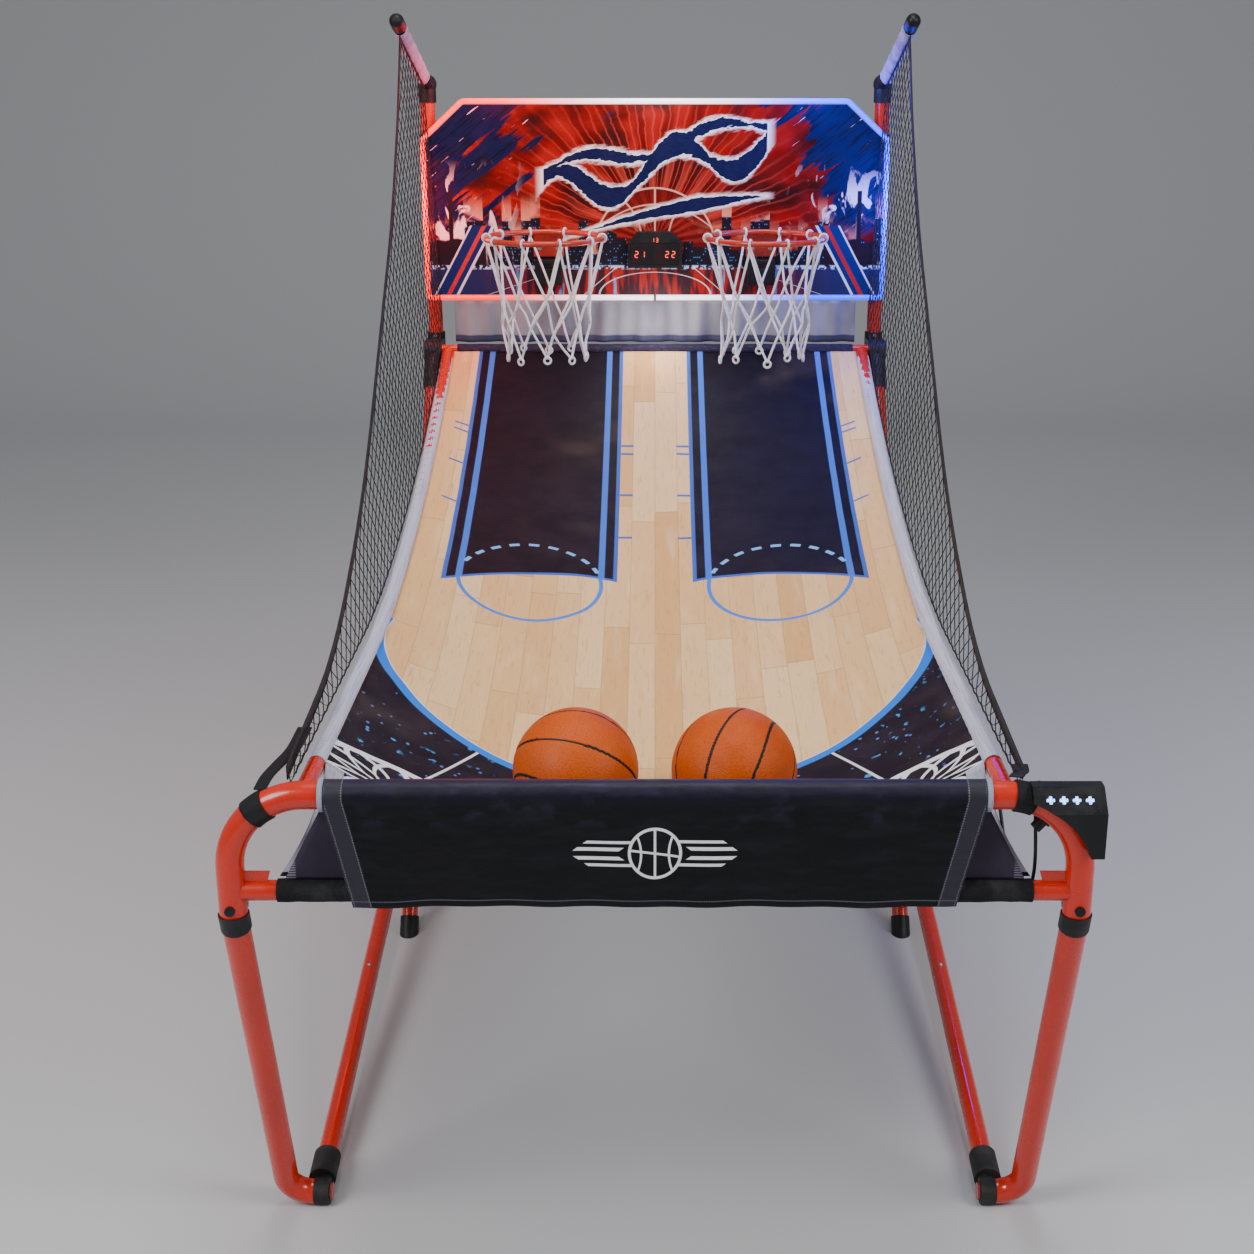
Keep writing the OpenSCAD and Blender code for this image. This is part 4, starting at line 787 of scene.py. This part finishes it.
# ---- Hoop nets ----
# Each is one white braided cord, knotted where it crosses and hung from ten loops round the ring,
# so that it ends below in ten loose loops.
braid = Finish("white_cord", 0.75, shine=0.3)
braid.lay((0.84, 0.84, 0.86)).lay((0.62, 0.62, 0.66), braid.noise(90, 4).spread(0.45, 0.75, 0, 0.8))
# Painted shade: the pits of the braid, the low spots of the bump below, are painted darker grey.
braid.lay((0.48, 0.48, 0.52), braid.cells(520).under(0.18, 0.06) * 0.5)
braid.raise_by(braid.cells(520))
white_cord = braid.done(0.0006)


def cords(name, runs, radius, material, body, stands_for=(), sides=3):
    """Round cords along runs of points, turned into one mesh."""
    line = bpy.data.curves.new(name, "CURVE")
    line.dimensions, line.use_fill_caps = "3D", True
    line.bevel_depth, line.bevel_resolution = radius, sides - 2
    for run in runs:
        spline = line.splines.new("POLY")
        spline.points.add(len(run) - 1)
        for point, place in zip(spline.points, run):
            point.co = (*place, 1)
    temporary = bpy.data.objects.new(name + "_line", line)
    bpy.context.scene.collection.objects.link(temporary)
    bpy.context.view_layer.update()
    data = bpy.data.meshes.new_from_object(temporary.evaluated_get(bpy.context.evaluated_depsgraph_get()))
    bpy.data.objects.remove(temporary)
    mesh = bmesh.new()
    mesh.from_mesh(data)
    return piece(name, mesh, material, body, stands_for, fix_normals=True)


def softly(points, steps=5):
    """The points with rounded steps between them."""
    ends = [points[0] * 2 - points[1], *points, points[-1] * 2 - points[-2]]
    out = []
    for i in range(1, len(ends) - 2):
        a, b, c, d = ends[i - 1:i + 3]
        for k in range(steps):
            t = k / steps
            rise, bend, twist = c - a, 2 * a - 5 * b + 4 * c - d, 3 * b - a - 3 * c + d
            out.append(0.5 * ((2 * b) + rise * t + bend * t * t + twist * t ** 3))
    return out + [points[-1]]


hoop_out, hoop_high, ring_radius, net_drop, loops = 1.700, 1.306, 0.1225, 0.256, 10
for side, name in both_sides:
    draw = random.Random(31 + side)
    middle = at(side * 0.234, hoop_out, hoop_high)
    level_z = (-0.0085, -0.118, -0.182, -0.247)
    level_r = (ring_radius, 0.098, 0.090, 0.088)
    knots = {}
    for level in range(4):
        for k in range(loops):
            turn = 2 * math.pi * (k + 0.5 * (level % 2)) / loops + draw.uniform(-0.09, 0.09) * (level > 0)
            reach = level_r[level] + draw.uniform(-0.007, 0.007) * (level > 0)
            drop = level_z[level] + draw.uniform(-0.009, 0.009) * (level > 0)
            drop = max(drop, 0.004 - net_drop)
            knots[level, k] = middle + Vector((reach * math.cos(turn), reach * math.sin(turn), drop))
    runs = []
    for k in range(loops):
        for way in (0, 1):
            path = [knots[0, k]]
            here = k
            for level in range(1, 4):
                step = (0 if way else -1) if level % 2 else (1 if way else 0)
                here = (here + step) % loops
                path.append(knots[level, here])
            for i in range(len(path) - 1, 0, -1):
                bow = (path[i - 1] + path[i]) / 2
                out = (bow - middle) * Vector((1, 1, 0))
                aside = out.normalized() * draw.uniform(-0.004, 0.002)
                path.insert(i, bow + aside + Vector((0, 0, draw.uniform(-0.003, 0.003))))
            runs.append(softly(path, 4))
        eye_turn = 2 * math.pi * k / loops
        eye_out = Vector((math.cos(eye_turn), math.sin(eye_turn), 0))
        ring_top = middle + eye_out * ring_radius
        runs.append([ring_top + (eye_out * math.cos(a) + Vector((0, 0, 1)) * math.sin(a)) * 0.0082
                     for a in (math.radians(18 * n) for n in range(21))])
        end = knots[3, k]
        out = ((end - middle) * Vector((1, 1, 0))).normalized()
        aside = Vector((-out.y, out.x, 0))
        runs.append([end + aside * 0.007 * math.cos(a) + Vector((0, 0, 0.007 * math.sin(a) - 0.003))
                     + out * 0.002 for a in (math.radians(20 * n) for n in range(19))])
    net = cords(f"hoop_net_{name}_cord", runs, 0.0026, white_cord, "rear_frame",
                (f"hoop_net_{name}",), sides=4)
    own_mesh(net)

# ---- Scoreboard ----
# A smoked lens with red number segments that glow through it: time above, two scores below.
smoke = Finish("smoked_lens", 0.12, coat=0.6)
smoke.lay((0.006, 0.004, 0.005)).lay((0.030, 0.004, 0.005), smoke.noise(30, 3).spread(0.4, 0.8, 0, 0.8))
smoke.raise_by(smoke.noise(200, 2) * 0.2)
dress(smoke.done(0.0001), "scoreboard_lens")
ember = Finish("number_light", 0.3)
ember.lay((1.0, 0.05, 0.02)).lay((1.0, 0.16, 0.08), ember.noise(400, 2).spread(0.4, 0.7))
number_light = ember.done(glow=2.2)
segment_places = {"a": (0, 1, 0), "b": (0.5, 0.5, 1), "c": (0.5, -0.5, 1), "d": (0, -1, 0),
                  "e": (-0.5, -0.5, 1), "f": (-0.5, 0.5, 1), "g": (0, 0, 0)}
number_shapes = {"1": "bc", "2": "abged", "3": "abgcd"}
numbers = bmesh.new()
number_rows = (("1", -0.0045, 1.2865, 0.0085), ("3", 0.0045, 1.2865, 0.0085), ("2", -0.0405, 1.2555, 0.013),
               ("1", -0.0265, 1.2555, 0.013), ("2", 0.0265, 1.2555, 0.013), ("2", 0.0405, 1.2555, 0.013))
for digit, x, z, tall in number_rows:
    for part in number_shapes[digit]:
        right, up, standing = segment_places[part]
        bar = bmesh.ops.create_cube(numbers, size=1)["verts"]
        long, thin = tall * 0.40, tall * 0.12
        wide, high = (thin, long) if standing else (long, thin)
        bmesh.ops.scale(numbers, verts=bar, vec=(wide, 0.0006, high))
        bmesh.ops.translate(numbers, verts=bar, vec=at(x + right * tall * 0.5, 1.83955, z + up * tall * 0.5))
bmesh.ops.bevel(numbers, geom=numbers.edges[:], offset=0.00018, segments=1, profile=0.5, affect="EDGES",
                material=-1)
piece("score_numbers", numbers, number_light, "rear_frame", smooth=False)

# ---- Rear curtain ----
# Grey cloth hung under the backboard, that stops the balls behind the hoops. It hangs in soft folds
# and has a dark hem.
drape = Finish("grey_curtain", 0.7, shine=0.3)
drape.lay((0.30, 0.30, 0.34)).lay((0.14, 0.13, 0.17), drape.noise(9, 4, sizes=(1, 1, 0.4)).spread(0.38, 0.72))
drape.lay((0.05, 0.05, 0.10), drape.z.under(1.075, 0.002))
drape.raise_by(drape.noise(500, 1) * 0.2).raise_by(drape.noise(16, 3, sizes=(1, 1, 0.4)) * 4)
grey_curtain = drape.done(0.0006)


def drape_place(u, v):
    fold = 0.0045 * math.sin(58 * u + 2 * v) * (0.25 + 0.75 * v) + 0.0028 * math.sin(131 * u)
    return at((2 * u - 1) * 0.447, 1.8645 + fold, 1.151 - 0.0915 * v)


rear_drape = piece("rear_curtain_cloth", sewn_sheet(220, 14, drape_place), grey_curtain, "rear_frame",
                   ("rear_curtain",), fix_normals=True)
thicken(rear_drape, 0.0012, 0)

# ---- Arm sleeves ----
# Pale grey polyester sleeves slipped over the two arms. They are a little too large, so they hang
# into a soft keel under the tube and wrinkle along their length.
grey = Finish("arm_sleeve_cloth", 0.65, shine=0.3)
grey.lay((0.42, 0.42, 0.52)).lay((0.26, 0.26, 0.36), grey.noise(14, 4, sizes=(1, 2, 1)).spread(0.4, 0.72))
grey.lay((0.62, 0.62, 0.70), grey.noise(50, 3).spread(0.5, 0.8, 0, 0.5))
grey.raise_by(grey.noise(600, 1) * 0.2).raise_by(grey.noise(22, 3, sizes=(1, 0.5, 1)) * 5)
arm_cloth = grey.done(0.0006)
arm_root, arm_run, arm_length = Vector((0.494, 1.900, 1.612)), Vector((0.011, -0.360, 0.128)), 0.383
arm_forward, sleeve_end = 0.360, 0.005
sleeve_low, sleeve_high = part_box("arm_sleeves")
arm_side = arm_run.cross(Vector((0, 0, 1))).normalized()
arm_up = arm_side.cross(arm_run).normalized()
first = (arm_root.y + front_tube_y - sleeve_high.y + sleeve_end) / arm_forward
last = (arm_root.y + front_tube_y - sleeve_low.y - sleeve_end) / arm_forward
for side, name in both_sides:
    def arm_place(u, v):
        turn = 2 * math.pi * u
        keel = 0.0035 * max(0.0, -math.sin(turn)) ** 3
        wrinkle = 0.0005 * math.sin(2 * turn + 34 * v) + 0.0004 * math.sin(55 * v + turn)
        ring = arm_side * math.cos(turn) + arm_up * math.sin(turn)
        place = arm_root + arm_run * (first + (last - first) * v) + ring * (0.0138 + keel + wrinkle)
        return at(side * place.x, place.y, place.z)
    mesh = sewn_sheet(28, 60, arm_place)
    bmesh.ops.remove_doubles(mesh, verts=mesh.verts, dist=0.00001)
    sleeve = piece(f"arm_sleeve_{name}", mesh, arm_cloth, "rear_frame", fix_normals=True)
    thicken(sleeve, 0.001, 0)
    if side > 0:
        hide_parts("arm_sleeves")

# ---- Side nets ----
# Knotted black diamond netting, laced to the playfield rail below and to a webbing strap above that
# drops in a long curve from the arm's tip to the front corner.
twine = Finish("black_twine", 0.7, shine=0.25)
twine.lay((0.008, 0.008, 0.010)).lay((0.040, 0.040, 0.046), twine.noise(120, 4).spread(0.4, 0.75))
twine.raise_by(twine.noise(900, 2))
black_twine = twine.done(0.0004)
webbing_finish = Finish("black_webbing", 0.65, shine=0.3, on="UV")
webbing_finish.lay((0.010, 0.010, 0.012))
webbing_finish.lay((0.045, 0.045, 0.052), webbing_finish.noise(60, 3).spread(0.4, 0.75))
webbing_finish.raise_by(webbing_finish.ripple(220, "Y"))
black_webbing = webbing_finish.done(0.0004)
strap_shape = ((0, 0), (0.26, 0.02), (0.5, 0.19), (0.69, 0.44), (0.89, 0.70), (1, 1))
strap_front, strap_tip, strap_root = (0.4865, 0.027, 0.790), (0.5039, 1.5758, 1.7098), (0.4953, 1.857, 1.6098)
net_front, net_back = 0.027, 1.857
diamond, webbing_thick = 0.038, 0.0018


def strap_line(share):
    for (a, low), (b, high) in zip(strap_shape, strap_shape[1:]):
        if share <= b:
            return low + (high - low) * (share - a) / (b - a)
    return 1.0


def strap_share(share):
    """How far up the strap has risen, as a smooth hang with its ends held."""
    reach = min(0.09, max(0.0, share), max(0.0, 1 - share))
    return sum(strap_line(share + reach * step / 4) for step in range(-4, 5)) / 9


def net_top(y):
    if y <= strap_tip[1]:
        share = (y - strap_front[1]) / (strap_tip[1] - strap_front[1])
        return (strap_front[0] + (strap_tip[0] - strap_front[0]) * share,
                strap_front[2] + (strap_tip[2] - strap_front[2]) * strap_share(share))
    share = (y - strap_tip[1]) / (strap_root[1] - strap_tip[1])
    return tuple(strap_tip[k] + (strap_root[k] - strap_tip[k]) * share for k in (0, 2))


def net_low(y):
    share = (y - net_front) / (net_back - net_front)
    lowest = max(cloth_edge(cloth_front + (cloth_back - cloth_front) * max(0.08, share)), 0.762)
    return 0.4825 - 0.008 * share, lowest + 0.014 + 0.045 * max(0.0, (share - 0.9) / 0.1)


def net_spot(side, y, z):
    (low_x, low_z), (top_x, top_z) = net_low(y), net_top(y)
    share = (z - low_z) / max(0.004, top_z - low_z)
    wave = 0.0012 * math.sin(9 * y + 14 * z) * min(1, 4 * share * (1 - share) + 0.05)
    return at(side * (low_x + (top_x - low_x) * share + wave), y, z)


fold_turn_low = at(0, 0.50, 0.800)


def hang_between(made):
    """Bakes the piece's place into its mesh."""
    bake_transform(made)


for side, name in both_sides:
    mesh = bmesh.new()
    bmesh.ops.create_grid(mesh, x_segments=80, y_segments=80, size=40 * diamond / math.sqrt(2))
    bmesh.ops.rotate(mesh, verts=mesh.verts, matrix=Matrix.Rotation(math.pi / 4, 3, "Z"))
    bmesh.ops.translate(mesh, verts=mesh.verts, vec=(0.94, 1.24, 0))
    def outside(v):
        y = v.co.x
        return y < net_front or y > net_back or not net_low(y)[1] < v.co.y < net_top(y)[1]
    lost = {v for v in mesh.verts if outside(v)}
    lost_faces = [f for f in mesh.faces if all(v in lost for v in f.verts)]
    bmesh.ops.delete(mesh, geom=lost_faces, context="FACES")
    draw = random.Random(7 + side)
    for v in mesh.verts:
        y = min(max(v.co.x, net_front), net_back)
        inside = v not in lost
        y += draw.uniform(-0.0018, 0.0018) * inside
        z = min(max(v.co.y + draw.uniform(-0.0018, 0.0018) * inside, net_low(y)[1]), net_top(y)[1])
        v.co = net_spot(side, y, z)
    bmesh.ops.remove_doubles(mesh, verts=mesh.verts, dist=0.0015)
    bmesh.ops.dissolve_degenerate(mesh, edges=mesh.edges, dist=0.0008)
    flat_net = piece(f"flat_net_{name}", mesh, black_twine, None)
    strands = flat_net.modifiers.new("strands", "WIREFRAME")
    strands.thickness, strands.use_even_offset, strands.use_boundary = 0.0017, False, True
    bpy.context.view_layer.update()
    data = bpy.data.meshes.new_from_object(flat_net.evaluated_get(bpy.context.evaluated_depsgraph_get()))
    bpy.data.objects.remove(flat_net)
    mesh = bmesh.new()
    mesh.from_mesh(data)
    net = piece(f"side_netting_{name}", mesh, black_twine, None, (f"side_net_{name}",))
    hang_between(net)

    def edge_points(first_y, last_y, count, which):
        out = []
        for i in range(count + 1):
            y = first_y + (last_y - first_y) * i / count
            x, z = which(y)
            out.append(at(side * x, y, z))
        return out
    top_run = edge_points(net_front, strap_tip[1], 60, net_top)
    arm_run_points = edge_points(strap_tip[1], strap_root[1], 12, net_top)
    for label, run, width in (("top_strap", top_run, 0.020), ("arm_strap", arm_run_points, 0.012)):
        made = ribbon(f"net_{label}_{name}", run, width, webbing_thick, (1, 0, 0), black_webbing, None)
        hang_between(made)
    lace = [at(side * (net_low(y)[0] - 0.0005), y, net_low(y)[1] + 0.004 * (i % 2)) for i, y in
            ((i, 0.06 + 1.74 * i / 90) for i in range(91))]
    edge_cord = cords(f"net_edge_cord_{name}", [lace], 0.0014, black_twine, None, sides=3)
    hang_between(edge_cord)

# ---- Corner straps ----
# The lower end of each net strap is a loop of black webbing, pulled tight round the bend of the
# front tube and stitched to itself.
bend_middle, bend_radius = Vector((0.460, 0, 0.665)), 0.105
tail_routes = {
    "left": ((0.519, 0.004, 0.7755), (0.512, 0.022, 0.787), (0.500, 0.052, 0.7945), (0.490, 0.095, 0.797),
             (0.4885, 0.17, 0.798)),
    "right": ((0.474, 0.010, 0.7915), (0.479, 0.018, 0.7925), (0.484, 0.026, 0.7935), (0.4868, 0.05, 0.7925))}
for side, name in both_sides:
    def loop_place(u, v):
        turn = 2 * math.pi * v
        bend_turn = math.radians((84 if side > 0 else 62) - 15 * u)
        out = Vector((math.cos(bend_turn), 0, math.sin(bend_turn)))
        ring = 0.0203 + 0.0003 * math.sin(9 * turn)
        place = bend_middle + out * (bend_radius + ring * math.cos(turn))
        return at(side * place.x, ring * math.sin(turn), place.z)
    mesh = sewn_sheet(4, 48, loop_place)
    bmesh.ops.remove_doubles(mesh, verts=mesh.verts, dist=0.00001)
    loop = piece(f"corner_strap_{name}", mesh, black_webbing, "playfield_frame",
                 fix_normals=True)
    thicken(loop, webbing_thick, 0)
    tail = [at(side * x, y, z) for x, y, z in tail_routes[name]]
    ribbon(f"corner_strap_tail_{name}", softly(tail, 4), 0.020, webbing_thick, (0, 0.3, 1), black_webbing,
           "playfield_frame")

# ---- Control box ----
# A black moulded box clamped over the right-hand bend, with four lit plus-shaped buttons on its
# sloping face and a bright moulding line round its edge.
for name in ("control_box", "scoreboard_case", "score_sensors"):
    join = nodes[name].modifiers.new("joined_faces", "WELD")
    join.merge_threshold = 0.00002
    round_off = nodes[name].modifiers.new("moulded_edges", "BEVEL")
    round_off.width, round_off.segments, round_off.limit_method = 0.0016, 3, "ANGLE"
    round_off.angle_limit = math.radians(40)
shell = Finish("control_box_shell", 0.32, shine=0.4)
shell.lay((0.003, 0.003, 0.004)).lay((0.009, 0.009, 0.011), shell.noise(20, 4).spread(0.4, 0.75))
shell.lay((0.07, 0.07, 0.08), shell.noise(500, 2).spread(0.64, 0.8, 0, 0.3))
shell.raise_by(shell.cells(1200) * 0.4)
dress(shell.done(0.0002, shell.noise(45, 4).spread(0.3, 0.75, 0.22, 0.42)), "control_box")
press = Finish("button_light", 0.3)
press.lay((0.12, 0.32, 1.0)).lay((0.45, 0.65, 1.0), press.noise(300, 2).spread(0.35, 0.65))
dress(press.done(glow=3.5), "button_1", "button_2", "button_3", "button_4")
green = Finish("circuit_board", 0.4)
green.lay((0.010, 0.10, 0.030)).lay((0.03, 0.22, 0.07), (green.x * 400).sum("FRACT").under(0.3, 0.05))
green.lay((0.45, 0.33, 0.10), green.cells(350).under(0.14, 0.04))
dress(green.done(), "control_board")

# ---- Control lead ----
# A thin black rubber lead that leaves the back of the control box, drops behind the bend to the
# lower tube and runs under the right-hand rail.
rubber = Finish("lead_rubber", 0.5)
rubber.lay((0.008, 0.008, 0.008)).lay((0.03, 0.03, 0.032), rubber.noise(40, 4).spread(0.4, 0.75))
rubber.raise_by(rubber.noise(300, 2) * 0.3)
lead_rubber = rubber.done(0.0002)
lead_points = [at(x / 1000, y / 1000, z / 1000) for x, y, z in (
    (505, 0.3, 785), (505, 10, 784), (505, 24, 774), (506, 32, 755), (508, 33, 730), (510, 32, 700),
    (511, 29, 670), (510, 26, 645), (505, 23, 624), (494, 23, 613), (482, 28, 620), (477, 44, 642),
    (475, 70, 680), (474, 110, 715), (474, 160, 734), (474, 300, 738), (474, 480, 738), (474, 620, 738),
    (471, 642, 745))]
lead_line, lead_thick = softly(lead_points, 6), 0.005
lead = bpy.data.curves.new("control_lead", "CURVE")
lead.dimensions, lead.use_fill_caps = "3D", True
lead.bevel_depth, lead.bevel_resolution = lead_thick / 2, 4
spline = lead.splines.new("POLY")
spline.points.add(len(lead_line) - 1)
for point, place in zip(spline.points, lead_line):
    point.co = (*place, 1)
lead.materials.append(lead_rubber)
control_lead = bpy.data.objects.new("control_lead", lead)
bpy.context.scene.collection.objects.link(control_lead)
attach(control_lead, "playfield_frame")
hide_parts("control_cable")
lead_length = sum((b - a).length for a, b in zip(lead_line, lead_line[1:]))

# ---- Foot boots ----
# Soft black rubber boots pushed over each base rail where it meets the front foot, dulled by floor dust.
boot = Finish("boot_rubber", 0.7)
boot.lay((0.008, 0.008, 0.008)).lay((0.035, 0.034, 0.032), boot.noise(35, 5).spread(0.4, 0.75))
boot.lay((0.06, 0.06, 0.058), boot.noise(90, 4).spread(0.6, 0.8, 0, 0.3))
boot.raise_by(boot.noise(200, 3))
dress(boot.done(0.0004), "foot_boots")

# ---- Balls ----
# Two small moulded rubber balls, pebbled all over, with black channels pressed into the skin along
# the usual eight panels.
ball_size, channel_half, channel_deep = 0.089, 0.0021, 0.0011
ball_out, ball_back, ball_height = 0.112, 0.180, 0.7297


def channel_gap(p):
    """Distance along the skin from the nearest channel, for a point on a ball of radius one."""
    bow = 0.60 + 0.19 * (p.x * p.x - p.y * p.y)
    return min(abs(p.x), abs(p.z), abs(abs(p.z) - bow) * 1.12)


def lying(seam_pole, channel_normal):
    """How a ball lies: where its channels cross, and which way its widest channel faces."""
    third = Vector(channel_normal).normalized()
    second = (Vector(seam_pole) - third * Vector(seam_pole).dot(third)).normalized()
    return Matrix((second.cross(third), second, third))


rolled = {"left": lying((-0.947, 0.040, 0.302), (0.237, 0.724, 0.646)),
          "right": lying((0.365, 0.588, 0.721), (0.863, -0.504, -0.025))}
for side, name in both_sides:
    middle = at(side * ball_out, ball_back, ball_height)
    mesh = bmesh.new()
    bmesh.ops.create_icosphere(mesh, subdivisions=7, radius=ball_size)
    mark = mesh.verts.layers.float.new("channel")
    for v in mesh.verts:
        unit = v.co.normalized()
        gap = channel_gap(rolled[name] @ unit) * ball_size
        depth = max(0.0, 1 - (gap / channel_half) ** 2) if gap < channel_half else 0.0
        lip = 0.00025 * math.exp(-((gap - channel_half * 1.5) / 0.0009) ** 2)
        v[mark] = 1.0 if gap < channel_half * 1.02 else 0.0
        v.co = unit * (ball_size - channel_deep * depth ** 0.5 - 0.0002 + lip)
    bmesh.ops.translate(mesh, verts=mesh.verts, vec=middle)
    skin = Finish(f"ball_rubber_{name}", 0.5, shine=0.25)
    skin.lay((0.58, 0.085, 0.002)).lay((0.40, 0.045, 0.002), skin.noise(9, 5).spread(0.4, 0.8, 0, 0.7))
    skin.lay((0.68, 0.12, 0.005), skin.noise(22, 3).spread(0.52, 0.8, 0, 0.5))
    pebbles = skin.cells(430)
    # Painted shade: the gaps between the pebbles, which are the low spots of the pebble bump below, are
    # painted a darker orange.
    skin.lay((0.34, 0.045, 0.003), pebbles.spread(0.42, 0.75, 0, 0.4))
    groove = skin.tree.nodes.new("ShaderNodeAttribute")
    groove.attribute_name = "channel"
    skin.lay((0.012, 0.010, 0.010), Reading(skin.tree, groove.outputs["Fac"]).spread(0.35, 0.75))
    skin.raise_by(pebbles * -1)
    material = skin.done(0.0004, skin.noise(30, 4).spread(0.3, 0.75, 0.42, 0.62))
    piece(f"pebbled_ball_{name}", mesh, material, f"ball_{name}_body", (f"ball_{name}",))
